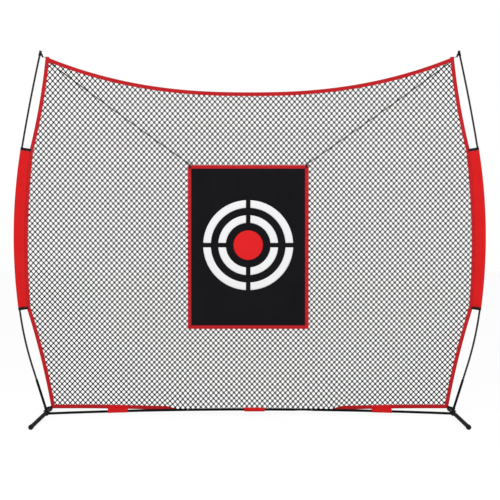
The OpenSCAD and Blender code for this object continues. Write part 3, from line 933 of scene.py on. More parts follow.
@dataclass(frozen=True)
class Outline:
    """The four edges of the net."""

    bottom_corner: tuple[float, float] = (1279.0, 38.0)
    hip: tuple[float, float] = (1440.0, 690.0)
    shoulder: tuple[float, float] = (1421.0, 1707.0)
    corner_in: float = 33.0
    corner_drop: float = 32.0
    side_sag: float = 11.0
    side_bulge: float = 25.0
    top_sag: float = 230.0
    top_power: float = 2.35
    middle_z: float = 21.0
    corner_rise: float = 2.0
    wave: float = 1100.0
    hem_w: float = 25.0
    hem_t: float = 2.6
    fine: float = 4.0
    near: float = 5.0

    @property
    def top_corner(self) -> np.ndarray:
        """The net's top right corner, which hangs from the pole's tip."""
        return POLE.tip - np.array([self.corner_in, self.corner_drop])

    @cache
    def side(self, step: float) -> np.ndarray:
        """The right-hand edge from the bottom corner up.

        Args:
            step: The distance between two points.

        Returns:
            Points with X and Z.
        """
        stops = np.array([self.bottom_corner, self.hip, self.shoulder, self.top_corner])
        t = np.linspace(0, 1, 41)[:, None]
        made = [stops[:1]]
        for p, q, sag in zip(stops, stops[1:], (self.side_sag, -self.side_bulge, self.side_sag)):
            way = (q - p) / np.linalg.norm(q - p)
            run = p + t * (q - p) + 4 * sag * t * (1 - t) * np.array([-way[1], way[0]])
            made.append(run[1:])
        return evenly(np.concatenate(made), step)

    def side_x(self, z: np.ndarray | float) -> np.ndarray:
        """Half width of the net at a height."""
        edge = self.side(self.fine)
        return np.interp(z, edge[:, 1], edge[:, 0])

    def top_z(self, x: np.ndarray | float) -> np.ndarray:
        """Height of the top edge.

        Args:
            x: Distances from the middle.

        Returns:
            The height at each.
        """
        corner = self.top_corner
        share = np.minimum(np.abs(x) / corner[0], 1.0)
        return corner[1] - self.top_sag * (1 - share**self.top_power)

    def bottom_z(self, x: np.ndarray | float) -> np.ndarray:
        """Height of the bottom edge.

        Args:
            x: Distances from the middle.

        Returns:
            The height at each.
        """
        rise = self.bottom_corner[1] + self.corner_rise - self.middle_z
        turn = math.pi * np.minimum(np.abs(x), self.wave) / self.wave
        return self.middle_z + rise * (1 - np.cos(turn)) / 2

    def depth(self, x: np.ndarray, z: np.ndarray) -> np.ndarray:
        """How far inside the nearest edge each point lies, and below 0 outside.

        Args:
            x: Distances from the middle.
            z: Heights.

        Returns:
            The depth.
        """
        edge = self.side(self.fine)
        lean = np.interp(z, edge[:, 1], np.gradient(edge[:, 0], edge[:, 1]))
        side = (self.side_x(z) - np.abs(x)) / np.sqrt(1 + lean**2)
        near, far = (self.top_z(np.abs(x) + step) for step in (-self.near, self.near))
        top = (self.top_z(x) - z) / np.sqrt(1 + ((far - near) / (2 * self.near)) ** 2)
        return np.minimum(np.minimum(side, top), z - self.bottom_z(x))


OUTLINE = Outline()


@dataclass(frozen=True)
class Bar:
    """The bent tube across the front of the base, to which the net is strapped."""

    wide: float = 16.0
    y: float = 215.0
    rise: float = 26.0
    half: float = 1296.4
    top: float = 36.0

    def z(self, x: np.ndarray | float) -> np.ndarray:
        """Height of the bar's middle line."""
        bend = (self.half**2 + self.rise**2) / (2 * self.rise)
        return self.top - bend + np.sqrt(bend**2 - np.square(x))


BAR = Bar()


@dataclass(frozen=True)
class Roll:
    """The middle of the bottom hem, which has rolled back and sunk behind the bar."""

    ends: tuple[float, float] = (-500.0, 559.0)
    blend: float = 84.0
    tilt: float = 55.0
    under: float = 4.5
    reach: float = 300.0
    widen: float = 35.0
    rim: float = 3.0

    def share(self, x: np.ndarray | float, over: np.ndarray | float = 0.0) -> np.ndarray:
        """How far a place has rolled or sunk, from 0 to 1.

        Args:
            x: The distance from the middle of the net.
            over: The height over the hem, where the change is softer.

        Returns:
            The share at each place.
        """
        blend = self.blend * (1 + np.clip(over, 0, None) / self.widen)
        low, high = self.ends
        return smooth((x - low) / blend + 0.5) * smooth((high - x) / blend + 0.5)

    def turned(self, points: np.ndarray, stiff: bool = True) -> np.ndarray:
        """Roll points of the flat hem about its top edge, and draw the net down after it.

        Args:
            points: Points in metres.
            stiff: True for tape, which turns as one up to its rim, and False for twine.

        Returns:
            The points where they end up.
        """
        x, y, z = np.moveaxis(points / MM, -1, 0)
        y = y - POLE.plane_y
        crease = OUTLINE.bottom_z(x) + OUTLINE.hem_w
        over = z - crease
        share = self.share(x, over)
        drop = share * (crease - BAR.z(x) - self.under) * (1 - smooth(over / self.reach))
        turn = np.radians(self.tilt) * share * (over < (self.rim if stiff else 0.0))
        back = y * np.cos(turn) - over * np.sin(turn)
        up = over * np.cos(turn) + y * np.sin(turn)
        return spot(x, POLE.plane_y + back, crease + up - drop)


ROLL = Roll()


# Sub-assemblies


@dataclass(frozen=True)
class Studio:
    """A white floor, a white surround, soft lamps, and a level camera far in front of the net."""

    camera_back: float = 8.65
    camera_high: float = 1.262
    lens: float = 96.5
    shift: tuple[float, float] = (0.0005, -0.062)
    floor_half: float = 24.0
    floor_z: float = -0.0005
    floor_seen: float = 0.8
    floor_glow: float = 1.1
    floor_grey: float = 0.9
    sky: float = 0.5
    aim: tuple[float, float, float] = (0.0, 0.2, 1.1)
    box: float = 3.0

    def camera(self) -> None:
        """A long lens, level, square to the net."""
        lens = bpy.data.cameras.new("front_camera")
        lens.lens = self.lens
        lens.sensor_width = 36.0
        lens.shift_x, lens.shift_y = self.shift
        lens.clip_end = 200.0
        held = in_scene("front_camera", lens)
        held.location = (0.0, POLE.plane_y * MM - self.camera_back, self.camera_high)
        held.rotation_euler = (math.pi / 2, 0.0, 0.0)
        bpy.context.scene.camera = held

    def lamp(self, name: str, place: tuple[float, float, float], watts: float) -> None:
        """A square softbox that faces the middle of the net.

        Args:
            name: The lamp's name.
            place: Where it hangs, in metres.
            watts: Its power.
        """
        light = bpy.data.lights.new(name, "AREA")
        light.shape = "SQUARE"
        light.size = self.box
        light.energy = watts
        held = in_scene(name, light)
        held.location = place
        x, y, z = np.array(self.aim) - np.array(place)
        held.rotation_euler = (math.atan2(math.hypot(x, y), -z), 0.0, math.atan2(-x, y))

    def surround(self) -> None:
        """White where it is seen or mirrored, and a soft grey sky as a lamp."""
        world = bpy.data.worlds.new("white_surround")
        bpy.context.scene.world = world
        world.use_nodes = True
        tree = world.node_tree
        tree.nodes.clear()
        rays = add(tree, "LightPath").outputs
        camera, glossy, through = (
            rays[f"Is {kind} Ray"] for kind in ("Camera", "Glossy", "Transmission")
        )
        seen = add(tree, "Math", {0: camera, 1: glossy}, operation="MAXIMUM")
        either = add(tree, "Math", {0: seen, 1: through}, operation="MAXIMUM")
        sky, white = (
            add(tree, "Background", {"Color": (1, 1, 1, 1), "Strength": strength})
            for strength in (self.sky, 1.0)
        )
        mix = add(tree, "MixShader", {0: either, 1: sky, 2: white})
        add(tree, "OutputWorld", {"Surface": mix})

    def floor(self) -> None:
        """A white studio floor that keeps a faint shadow where it is seen."""
        made = bpy.data.materials.new("white_studio_floor")
        made.use_nodes = True
        tree = made.node_tree
        tree.nodes.clear()
        camera = add(tree, "LightPath").outputs["Is Camera Ray"]
        share = add(tree, "Math", {0: camera, 1: self.floor_seen}, operation="MULTIPLY")
        paint = add(tree, "BsdfDiffuse", {"Color": (*[self.floor_grey] * 3, 1)})
        white = add(tree, "Emission", {"Strength": self.floor_glow})
        mix = add(tree, "MixShader", {0: share, 1: paint, 2: white})
        add(tree, "OutputMaterial", {"Surface": mix})
        mesh = bpy.data.meshes.new("studio_floor")
        turns = ((-1, -1), (1, -1), (1, 1), (-1, 1))
        corners = [(x * self.floor_half, y * self.floor_half, 0) for x, y in turns]
        mesh.from_pydata(corners, [], [(0, 1, 2, 3)])
        mesh.materials.append(made)
        floor = in_scene("studio_floor", mesh)
        floor.location.z = self.floor_z

    def build(self) -> None:
        """Set up the whole studio."""
        self.camera()
        self.surround()
        self.floor()
        self.lamp("key_softbox", (-3.2, -5.0, 4.6), 170.0)
        self.lamp("fill_softbox", (4.2, -4.2, 3.0), 100.0)


@dataclass(frozen=True)
class Tied:
    """Braided cord on one side of the net, made fast at both ends."""

    side: Side
    thick: float

    def run(
        self,
        line: np.ndarray,
        radii: np.ndarray | float,
        sides: int = 10,
        aside: Sequence[float] = (0, 1, 0),
    ) -> np.ndarray:
        """Rings of a cord on this side, as for tube, from a line of the right-hand half."""
        return tube(self.side.of(line) * MM, radii, sides, aside)

    def piece(self, name: str, *runs: np.ndarray, node: str | None = None) -> bpy.types.Object:
        """One piece of cord.

        Args:
            name: Its name before the side's word.
            *runs: The rings of each run.
            node: The CAD node that it replaces, if any.

        Returns:
            The piece.
        """
        making = Making()
        for rings in runs:
            making.loft(rings)
        return making.piece(f"{name}_{self.side.word}", CORD, Slot.CORD, node, outward=False)

    def declare(
        self, cord: bpy.types.Object, line: np.ndarray, pieces: Sequence[bpy.types.Object] = ()
    ) -> None:
        """Work out where the cord starts and how long it is, and keep neither.

        Args:
            cord: Not used.
            line: Its middle line, on the right-hand half.
            pieces: Not used.
        """
        path = self.side.of(line) * MM
        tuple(path[0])
        round(float(steps_along(path)[-1]), 3)


@dataclass(frozen=True)
class HangingCord(Tied):
    """A taut cord, from a knot behind the net's top corner through the mesh and down to a ring."""

    thick: float = 6.2
    tie_in: tuple[float, float] = (13.0, 30.0)
    front: float = 228.2
    behind: float = 241.5
    through: tuple[float, float] = (14.0, 26.0)
    crowded: float = 1.6
    sag: float = 6.0
    ring_r: float = 12.0
    ring_wire: float = 1.4
    eye_r: float = 4.0
    eye_wire: float = 1.6
    eye_gap: float = 0.3
    eye_open: float = 0.12
    throat: float = 1.0
    whip_in: float = 0.6
    whip_l: float = 16.0
    whip_r: float = 3.35
    whip_turn: float = 0.35
    whip_turns: int = 10
    whip_taper: float = 0.9
    whip_end: float = 0.08
    knot_r: float = 1.7
    knot_deep: float = 1.5
    knot_wire: float = 2.3

    def ends(self) -> tuple[np.ndarray, np.ndarray]:
        """Where the cord is tied.

        Returns:
            The knot and the middle of the eye, on the right-hand half.
        """
        x, z = OUTLINE.top_corner - np.array(self.tie_in)
        knot = np.array([x, self.front, z])
        ring = np.array([TARGET.ring_x(self.side), TARGET.plane_y, TARGET.ring_z])
        rise = math.atan2(knot[2] - ring[2], knot[0] - ring[0])
        out = self.ring_r + self.eye_r - self.eye_wire - self.ring_wire - self.eye_gap
        return knot, ring + out * np.array([math.cos(rise), 0, math.sin(rise)])

    def build(self) -> None:
        """The cord, its overhand knot, and its eye with a whipping."""
        knot, eye = self.ends()
        way = (knot - eye) / np.linalg.norm(knot - eye)
        throat = eye + way * (self.eye_r + self.throat)
        t = np.linspace(0, 1, 52)[:, None] ** self.crowded
        line = knot + t * (throat - knot) - 4 * self.sag * t * (1 - t) * np.array([0, 0, 1])
        start, length = self.through
        shown = smooth((steps_along(line) - start) / length)
        line[:, 1] += (self.behind - self.front) * (1 - shown)
        node = f"hanging_cord_{self.side.word}"
        cord = self.piece("target_cord", self.run(line, self.thick / 2, 12), node=node)
        self.declare(cord, line, [self.knot(line[0], way), self.eye(eye, way)])

    def knot(self, middle: np.ndarray, way: np.ndarray) -> bpy.types.Object:
        """An overhand knot, pulled tight, behind the net's corner.

        Args:
            middle: The middle of the knot.
            way: The direction from the eye to the knot.

        Returns:
            The knot.
        """
        t = np.linspace(0, 2 * math.pi, 65)[:, None]
        wide = (np.sin(t) + 2 * np.sin(2 * t)) * np.array([way[2], 0, -way[0]])
        tall = (np.cos(t) - 2 * np.cos(2 * t)) * way
        deep = np.sin(3 * t) * np.array([0, self.knot_deep, 0])
        line = middle + self.knot_r * (wide + tall) + deep
        return self.piece("cord_knot", self.run(line, self.knot_wire, aside=(0.31, 0.2, 0.93)))

    def eye(self, middle: np.ndarray, way: np.ndarray) -> bpy.types.Object:
        """The eye round the ring, and the thread whipping that closes it.

        Args:
            middle: The middle of the eye.
            way: The direction from the eye to the knot.

        Returns:
            The eye with its whipping.
        """
        up = np.array([-way[2], 0, way[0]])
        gap = self.eye_open * math.pi
        turn = np.linspace(gap, 2 * math.pi - gap, 30)[:, None]
        loop = middle + self.eye_r * (np.cos(turn) * way + np.sin(turn) * up)
        t = np.linspace(0, 1, 60)
        bands = self.whip_r + self.whip_turn * np.abs(np.sin(t * math.pi * self.whip_turns))
        bands -= self.whip_taper * smooth(1 - np.minimum(t, 1 - t) / self.whip_end)
        wrap = middle + way * (self.eye_r - self.whip_in + t[:, None] * self.whip_l)
        return self.piece("cord_eye", self.run(loop, self.eye_wire), self.run(wrap, bands, 14))


@dataclass(frozen=True)
class Lashing(Tied):
    """A thin doubled cord from the pole pocket's tail to the net's top corner."""

    thick: float = 2.0
    into_tail: float = 4.0
    into_corner: tuple[float, float] = (4.0, 7.0)
    round_hem: tuple[float, float] = (1.0, -3.4)
    apart: tuple[tuple[float, float], ...] = ((-2.6, 1.2), (-3.0, 1.4), (-2.6, 1.6), (0.0, 0.0))
    points: int = 40
    eased: int = 6

    def build(self) -> None:
        """One loop of cord: out of the tail, round the hem's corner and back."""
        pocket = TipPocket(self.side)
        start = pocket.on_tail(pocket.tail[1] - self.into_tail)
        corner = OUTLINE.top_corner - np.array(self.into_corner)
        turn = [corner + np.array([x, 0.0]) for x in self.round_hem]
        legs = np.array([start, (start + corner) / 2, *turn])
        apart = np.array(self.apart)
        legs = np.concatenate([legs, legs[2::-1]])
        apart = np.concatenate([apart, -apart[2::-1]])
        y = POLE.plane_y + apart[:, 0]
        line = upright(legs + apart * np.array([0.0, 1.0]), y) / MM
        line = relaxed(evenly(line, count=self.points), self.eased)
        rings = self.run(line, self.thick / 2, aside=(0.2, 0.1, 0.97))
        self.declare(self.piece("corner_lashing", rings, node="corner_cords"), line)


@dataclass(frozen=True)
class Netting:
    """Knotless diamond netting, twine by twine, cut to run into the hem tape.

    Its twine is drawn about twice as thick as the real one, so that it keeps its tone from afar.
    """

    twine_w: float = 5.9
    node_w: float = 12.0
    node_l: float = 7.0
    node_most: float = 0.4
    flat: float = 0.72
    under_tape: float = 0.8
    sides: int = 4
    low_cell: tuple[float, float] = (33.0, 34.4)
    wide_grow: float = 0.00062
    tall_grow: float = 0.00185
    middle_x: float = -2.0
    first_z: float = 8.0
    into_hem: float = 10.0
    rows: tuple[int, int] = (-4, 140)
    columns: int = 240
    belly: float = 5.5
    belly_from: float = 420.0
    slow: tuple[float, float, float, float] = (1.4, 210.0, 260.0, 0.6)
    quick: tuple[float, float, float] = (0.9, 97.0, 143.0)
    rim: float = 6.0
    rim_step: float = 2.5
    shortest: float = 0.5

    def place(self, i: np.ndarray, j: np.ndarray) -> np.ndarray:
        """Where a crossing lies, from its column and row.

        Args:
            i: Columns, in half meshes from the middle.
            j: Rows, in half meshes from the bottom.

        Returns:
            X and Z.
        """
        low_w, low_h = self.low_cell
        z = self.first_z + low_h / self.tall_grow * (np.exp(self.tall_grow * j / 2) - 1)
        return np.stack([self.middle_x + i * (low_w + self.wide_grow * z) / 2, z], axis=-1)

    def y(self, x: np.ndarray, z: np.ndarray) -> np.ndarray:
        """How far back the netting lies: flat at its hem, with a shallow belly and slow waves.

        Args:
            x: Distances from the middle.
            z: Heights.

        Returns:
            The distance from the origin.
        """
        free = smooth(OUTLINE.depth(x, z) / self.belly_from)
        high, wide, tall, start = self.slow
        slow = high * np.sin(x / wide + start) * np.cos(z / tall)
        high, wide, tall = self.quick
        quick = high * np.sin(x / wide - z / tall)
        return POLE.plane_y + free * (self.belly + slow + quick)

    def parts(self, nodes: np.ndarray) -> list[np.ndarray]:
        """The parts of one twine that lie inside the hem tape's stitching.

        Args:
            nodes: Its crossings, from outside the net to outside it.

        Returns:
            For each part, points with X, Z and 1 at a crossing or 0 at a cut end.
        """
        depth = OUTLINE.depth(*nodes.T) - (OUTLINE.hem_w - self.into_hem)
        edges = np.flatnonzero(np.diff(depth > 0))
        share = (depth[edges] / (depth[edges] - depth[edges + 1]))[:, None]
        cuts = nodes[edges] + share * (nodes[edges + 1] - nodes[edges])
        made = []
        for k in range(0, len(edges), 2):
            first, last = edges[k : k + 2]
            points = np.concatenate([cuts[k, None], nodes[first + 1 : last + 1], cuts[k + 1, None]])
            kinds = np.ones((len(points), 1))
            kinds[[0, -1]] = 0.0
            made.append(np.concatenate([points, kinds], axis=1))
        return made

    def thinned(
        self, flat: np.ndarray, radii: np.ndarray
    ) -> tuple[np.ndarray, np.ndarray, np.ndarray]:
        """Add points where a twine goes under the hem tape, and flatten it there.

        Args:
            flat: Points of the twine, as X and Z.
            radii: Half its width at each.

        Returns:
            The points, half the width, and half the depth at each.
        """
        over = OUTLINE.depth(*flat.T) - OUTLINE.hem_w
        far = steps_along(flat)
        stops = []
        for ends, (start, end) in zip(pairwise(over), pairwise(far)):
            near = min(ends) < self.rim and max(ends) > -self.rim
            count = max(1, int((end - start) / self.rim_step)) if near else 1
            stops.extend(np.linspace(start, end, count, endpoint=False))
        stops = np.array([*stops, far[-1]])
        flat = sampled(flat, far, stops)
        radii = np.interp(stops, far, radii)
        full = self.flat * radii
        thin = np.minimum(full, self.under_tape)
        free = smooth((OUTLINE.depth(*flat.T) - OUTLINE.hem_w - 1) / (self.rim - 1))
        return flat, radii, thin + (full - thin) * free

    def twine(self, part: np.ndarray, making: Making) -> None:
        """One twine: slim between crossings, and thick where it is knitted into the next.

        Args:
            part: Its points, from parts.
            making: The mesh that takes it.
        """
        slim, thick = self.twine_w / 2, self.node_w / 2
        points, radii = [], []
        for p, q in pairwise(part):
            length = np.linalg.norm((q - p)[:2])
            if length < self.shortest:
                continue
            step = min(self.node_l / length, self.node_most)
            stops = [0.0] + [step] * int(p[2]) + [1 - step] * int(q[2])
            points.extend((p + t * (q - p))[:2] for t in stops)
            radii.extend([thick if p[2] else slim] + [slim] * (len(stops) - 1))
        if len(points) < 2:
            return
        points.append(part[-1, :2])
        flat, wide, deep = self.thinned(np.array(points), np.array([*radii, slim]))
        middle = upright(flat, self.y(*flat.T))
        aside = upright(wide[:, None] * leftward(flat), 0.0)
        rings = spun(middle, aside, spot(0.0, deep, 0.0), self.sides)
        making.loft(ROLL.turned(rings, stiff=False))

    def build(self) -> None:
        """Both families of twine, each as its even and its odd twines."""
        rows = np.arange(*self.rows)
        for lay in Lay:
            for odd, word in enumerate(("even", "odd")):
                making = Making()
                for start in range(2 * odd - self.columns, self.columns, 4):
                    for part in self.parts(self.place(start + lay.value * rows, rows)):
                        self.twine(part, making)
                name = f"net_twine_{lay.name.lower()}_{word}"
                making.piece(name, TWINE, Slot.TWINE, "net_mesh", outward=False)


@dataclass(frozen=True)
class HemTape:
    """Binding tape folded over the net's edge, with two rows of stitches on each face."""

    pucker: float = 0.22
    scallop: float = 0.7
    mesh_half: float = 17.0
    seams: tuple[float, float] = (4.0, 21.0)
    sunk: float = 0.82
    bed: float = 0.1
    back_off: float = 9.0
    step: float = 8.0
    stitch: Stitch = Stitch(6.0, 1.1, 0.55)

    def section(self, s: float) -> np.ndarray:
        """The tape's cut at a place along it.

        Args:
            s: The length along the tape.

        Returns:
            A closed outline: depth from the edge, and height off the middle.
        """
        wave = math.cos(2 * math.pi * s / self.mesh_half)
        swell = 1 + self.pucker * wave / 2
        w, h = OUTLINE.hem_w + self.scallop * wave, OUTLINE.hem_t / 2
        outer, inner = self.seams
        # From the sewn edge, down into each seam, to the fold.
        face = [
            (w, h * 0.55),
            (w - 0.8, h * 0.95 * swell),
            (inner, h * self.sunk),
            ((outer + inner) / 2, h * swell),
            (outer, h * self.sunk),
            (1.6, h * 0.98),
            (0.4, h * 0.62),
        ]
        return folded(face, [(0.0, 0.0)])

    def edge(self, node: str, path: np.ndarray, way: int) -> None:
        """The tape of one edge with its stitches, in place of its CAD node.

        Args:
            node: The node's name.
            path: The edge, as X and Z.
            way: 1 where the net is to the left of the path, and -1 to the right.
        """
        sewing = Sewing()
        inward = leftward(path) * way
        cuts = np.array([self.section(s) for s in steps_along(path)])
        flat = path[:, None] + cuts[..., :1] * inward[:, None]
        sewing.cloth.loft(ROLL.turned(upright(flat, POLE.plane_y + cuts[..., 1])))
        for seam in self.seams:
            for face in Face:
                y = POLE.plane_y + face * (OUTLINE.hem_t / 2 * self.sunk - self.bed)
                line = path + seam * inward
                at, over = (ROLL.turned(upright(line, deep)) for deep in (y, y + face))
                sewing.thread.stitches(at, (over - at) / MM, self.stitch)
        sewing.pieces((f"{node}_tape", f"{node}_stitches"), Sewn.TAPE, node)

    def build(self) -> None:
        """The tape on all four edges."""
        side = OUTLINE.side(self.step)
        self.edge("hem_right", side, 1)
        self.edge("hem_left", side * np.array([-1, 1]), -1)
        for node, corner, height, count, way in (
            ("hem_top", OUTLINE.top_corner, OUTLINE.top_z, 331, -1),
            ("hem_bottom", OUTLINE.bottom_corner, OUTLINE.bottom_z, 321, 1),
        ):
            x = np.linspace(-1, 1, count) * (corner[0] - self.back_off)
            self.edge(node, np.stack([x, height(x)], axis=1), way)


@dataclass(frozen=True)
class PoleWrap:
    """A strip of cloth or webbing round the pole, with both ends sewn to the net's hem."""

    low_s: float
    high_s: float
    bore: float
    thick: float
    held: Held
    onto_hem: float = 5.0
    step: float = 10.0
    furthest: float = 400.0
    pole_gap: float = 0.1
    hem_gap: float = 0.15
    net_gap: float = 0.12
    hem_ends: tuple[float, float] = (0.15, 0.45)
    belly: float = 1.4
    wave: float = 0.45
    ripples: tuple[float, float, float] = (27.0, 11.5, 5.1)
    inset: float = 2.5
    end_gap: float = 2.0
    stitch_step: float = 6.0
    stitch: Stitch = Stitch(5.0, 1.0, 0.5)

    def reach(self, s: float) -> float:
        """How far the cloth's edge lies from the pole's middle.

        Args:
            s: The length along the pole.

        Returns:
            The distance, square to the pole.
        """

        def outside(deep: float) -> bool:
            """Whether a point beside the pole has yet to reach the net."""
            x, z = POLE.beside(s, deep)
            return bool(x > OUTLINE.side_x(z))

        return last_true(outside, self.furthest) + self.onto_hem

    def profile(self, s: float) -> np.ndarray:
        """The middle line of the cloth at a place along the pole.

        Args:
            s: The length along the pole.

        Returns:
            Distance inward from the pole's middle, and depth behind it, one point a row.
        """
        hem, cloth = OUTLINE.hem_t / 2, self.thick / 2
        radius = self.bore / 2 + cloth + self.pole_gap
        sewn = hem + cloth + self.hem_gap
        end = self.reach(s)
        touch = math.acos(min(0.9, radius / max(end, radius + 1)))
        turn = np.linspace(touch, 2 * math.pi - touch, 16)
        arc = radius * np.stack([np.cos(turn), -np.sin(turn)], axis=1)
        t = np.linspace(0, 1, 8, endpoint=False)
        near, far = self.hem_ends
        least = hem * smooth((far - t) / (far - near)) + cloth + self.net_gap
        slow, quick, fine = (s / length for length in self.ripples)
        sides = []
        for face, root in zip(Face, (arc[0], arc[-1])):
            depth = sewn + (abs(root[1]) - sewn) * smooth(t) ** self.belly
            slack = np.sin(slow + 1.3 * face) + 0.7 * np.sin(quick + 4 * t + face)
            slack += 0.4 * np.sin(fine - 7 * t)
            depth += self.held.value * self.wave * np.sin(math.pi * t) * slack
            depth = np.maximum(depth, least)
            sides.append(np.stack([end + (root[0] - end) * t, face * depth], axis=1))
        return np.concatenate([sides[0], arc, sides[1][::-1]])

    def build(self, side: Side, sewing: Sewing) -> float:
        """Add the wrap and the stitches that hold it to the hem, on both faces.

        Args:
            side: Which half of the net.
            sewing: What takes them.

        Returns:
            The width of the flat cloth, in metres, on average.
        """
        length = self.high_s - self.low_s
        places = np.linspace(self.low_s, self.high_s, max(3, int(round(length / self.step)) + 1))
        profiles = [self.profile(s) for s in places]
        rings = []
        for s, profile in zip(places, profiles):
            cut = thickened(profile, self.thick)
            rings.append(upright(POLE.beside(s, cut[:, 0]), POLE.plane_y + cut[:, 1]))
        sewing.cloth.loft(side.of(np.array(rings)))
        low, high = self.low_s + self.end_gap, self.high_s - self.end_gap
        seam = np.linspace(low, high, max(3, int(length / self.stitch_step)))
        line = np.array([POLE.beside(s, self.reach(s) - self.inset) for s in seam])
        for face in Face:
            y = POLE.plane_y + face * (OUTLINE.hem_t / 2 + self.thick + 2 * self.pole_gap)
            sewing.thread.stitches(side.of(upright(line, y)), face.out, self.stitch)
        return float(np.mean([steps_along(profile)[-1] for profile in profiles])) * MM


@dataclass(frozen=True)
class Sleeves:
    """The red pole sleeves, webbing bands round their ends, and loops at the bottom corners."""

    low_z: float = 690.0
    high_z: float = 1707.0
    cloth: float = 0.8
    webbing: float = 1.5
    ferrule_bore: float = 14.9
    socket_bore: float = 16.5
    band_w: float = 17.0
    loop: tuple[float, float] = (11.0, 23.0)
    gap: float = 0.3
    web_on_hem: float = 9.0
    web_step: float = 3.0

    def build(self) -> None:
        """Both sides."""
        low, high = POLE.height_at(self.low_z), POLE.height_at(self.high_z)
        sleeve = PoleWrap(low, high, self.ferrule_bore, self.cloth, Held.SOFT)
        for side in Side:
            sewing = Sewing()
            wide = sleeve.build(side, sewing)
            names = f"pole_sleeve_{side.word}", f"sleeve_stitches_{side.word}"
            cloth, seams = sewing.pieces(names, Sewn.SLEEVE, f"sleeve_{side.word}")
            self.webs(side, low - self.gap, high + self.gap)

    def webs(self, side: Side, low: float, high: float) -> None:
        """The bands at both ends of a sleeve, and the loop round the socket.

        Args:
            side: Which half of the net.
            low: Where the lower band ends along the pole.
            high: Where the upper one starts.
        """
        bands = [(low - self.band_w, low), (high, high + self.band_w)]
        for name, bore, spans in (
            ("sleeve_bands", self.ferrule_bore, bands),
            ("corner_loop_bottom", self.socket_bore, [self.loop]),
        ):
            sewing = Sewing()
            for start, end in spans:
                web = PoleWrap(
                    start, end, bore, self.webbing, Held.TAUT, self.web_on_hem, self.web_step
                )
                web.build(side, sewing)
            names = f"{name}_web_{side.word}", f"{name}_stitches_{side.word}"
            sewing.pieces(names, Sewn.WEBBING, f"{name}_{side.word}")


@dataclass(frozen=True)
class TipPocket:
    """A webbing pocket sewn shut over the pole's tip cap, with a tail towards the net's corner."""

    side: Side
    long: float = 28.0
    over: float = 6.5
    bore: float = 14.9
    thick: float = 1.5
    spread: float = 0.16
    shut_from: float = 0.72
    shut_half: float = 1.7
    flare: float = 0.5
    tail: tuple[float, float] = (11.0, 40.0)
    tail_lean: float = 23.0
    tail_from: float = 9.0
    taper: float = 0.35
    taper_from: float = 0.85
    drift: float = 0.6
    seam_drift: float = 0.4
    lift: float = 0.1
    seams: tuple[float, float] = (22.0, 35.0)
    seam_in: float = 1.8
    stitch: Stitch = Stitch(3.6, 0.9, 0.5)

    def pocket(self) -> np.ndarray:
        """A round mouth that flattens to a sewn end above the tip.

        Returns:
            Its rings on the right-hand half, from the lining out over the mouth to the end.
        """
        tip_s = POLE.ends[-1]
        radius = self.bore / 2 + self.thick / 2
        turn = np.linspace(0, 2 * math.pi, 28, endpoint=False)
        rings = []
        for t in np.linspace(0, 1, 16):
            s = tip_s - self.long + (self.long + self.over) * t
            lean = POLE.at(min(s, tip_s))[2]
            above = max(0.0, s - tip_s) * np.array([math.sin(lean), math.cos(lean)])
            shut = float(smooth((t - self.shut_from) / (1 - self.shut_from)))
            flare = self.flare * (1 - t) ** 4
            wide = radius * (1 + self.spread * shut) + flare
            deep = radius * (1 - shut) + self.shut_half * shut + flare
            flat = POLE.beside(min(s, tip_s), wide * np.cos(turn)) + above
            rings.append(upright(flat, POLE.plane_y + deep * np.sin(turn)))
        outer = np.array(rings)
        middle = outer[:6].mean(axis=1, keepdims=True)
        inner = middle + (outer[:6] - middle) * (1 - self.thick / radius)
        return np.concatenate([inner[::-1], outer])

    def on_tail(self, far: float, across: np.ndarray | float = 0.0) -> np.ndarray:
        """Points of the tail in the upright plane.

        Args:
            far: The distance from the pole's tip.
            across: How far each point lies off the tail's middle.

        Returns:
            X and Z in the last axis.
        """
        lean = math.radians(self.tail_lean)
        down = -np.array([math.sin(lean), math.cos(lean)])
        return POLE.tip + down * far + np.multiply.outer(across, [down[1], -down[0]])

    def build(self) -> None:
        """The pocket, its tail and a box of stitches."""
        sewing = Sewing()
        sewing.cloth.loft(self.side.of(self.pocket()))
        wide, long = self.tail
        rings = []
        for t in np.linspace(0, 1, 14):
            narrow = self.taper * smooth((t - self.taper_from) / (1 - self.taper_from))
            half = wide / 2 * (1 - narrow)
            cut = thickened(np.outer(np.linspace(-half, half, 5), [1, 0]), self.thick)
            y = POLE.plane_y + cut[:, 1] - self.drift * math.sin(math.pi * t)
            far = self.tail_from + (long - self.tail_from) * t
            rings.append(upright(self.on_tail(far, cut[:, 0]), y))
        sewing.cloth.loft(self.side.of(np.array(rings)))
        for edge in (self.seam_in - wide / 2, wide / 2 - self.seam_in):
            line = np.array([self.on_tail(far, edge) for far in np.linspace(*self.seams, 6)])
            for face in Face:
                y = POLE.plane_y + face * (self.thick / 2 + self.lift) - self.seam_drift
                sewing.thread.stitches(self.side.of(upright(line, y)), face.out, self.stitch)
        names = f"tip_pocket_{self.side.word}", f"tip_pocket_stitches_{self.side.word}"
        sewing.pieces(names, Sewn.WEBBING, f"corner_loop_top_{self.side.word}")


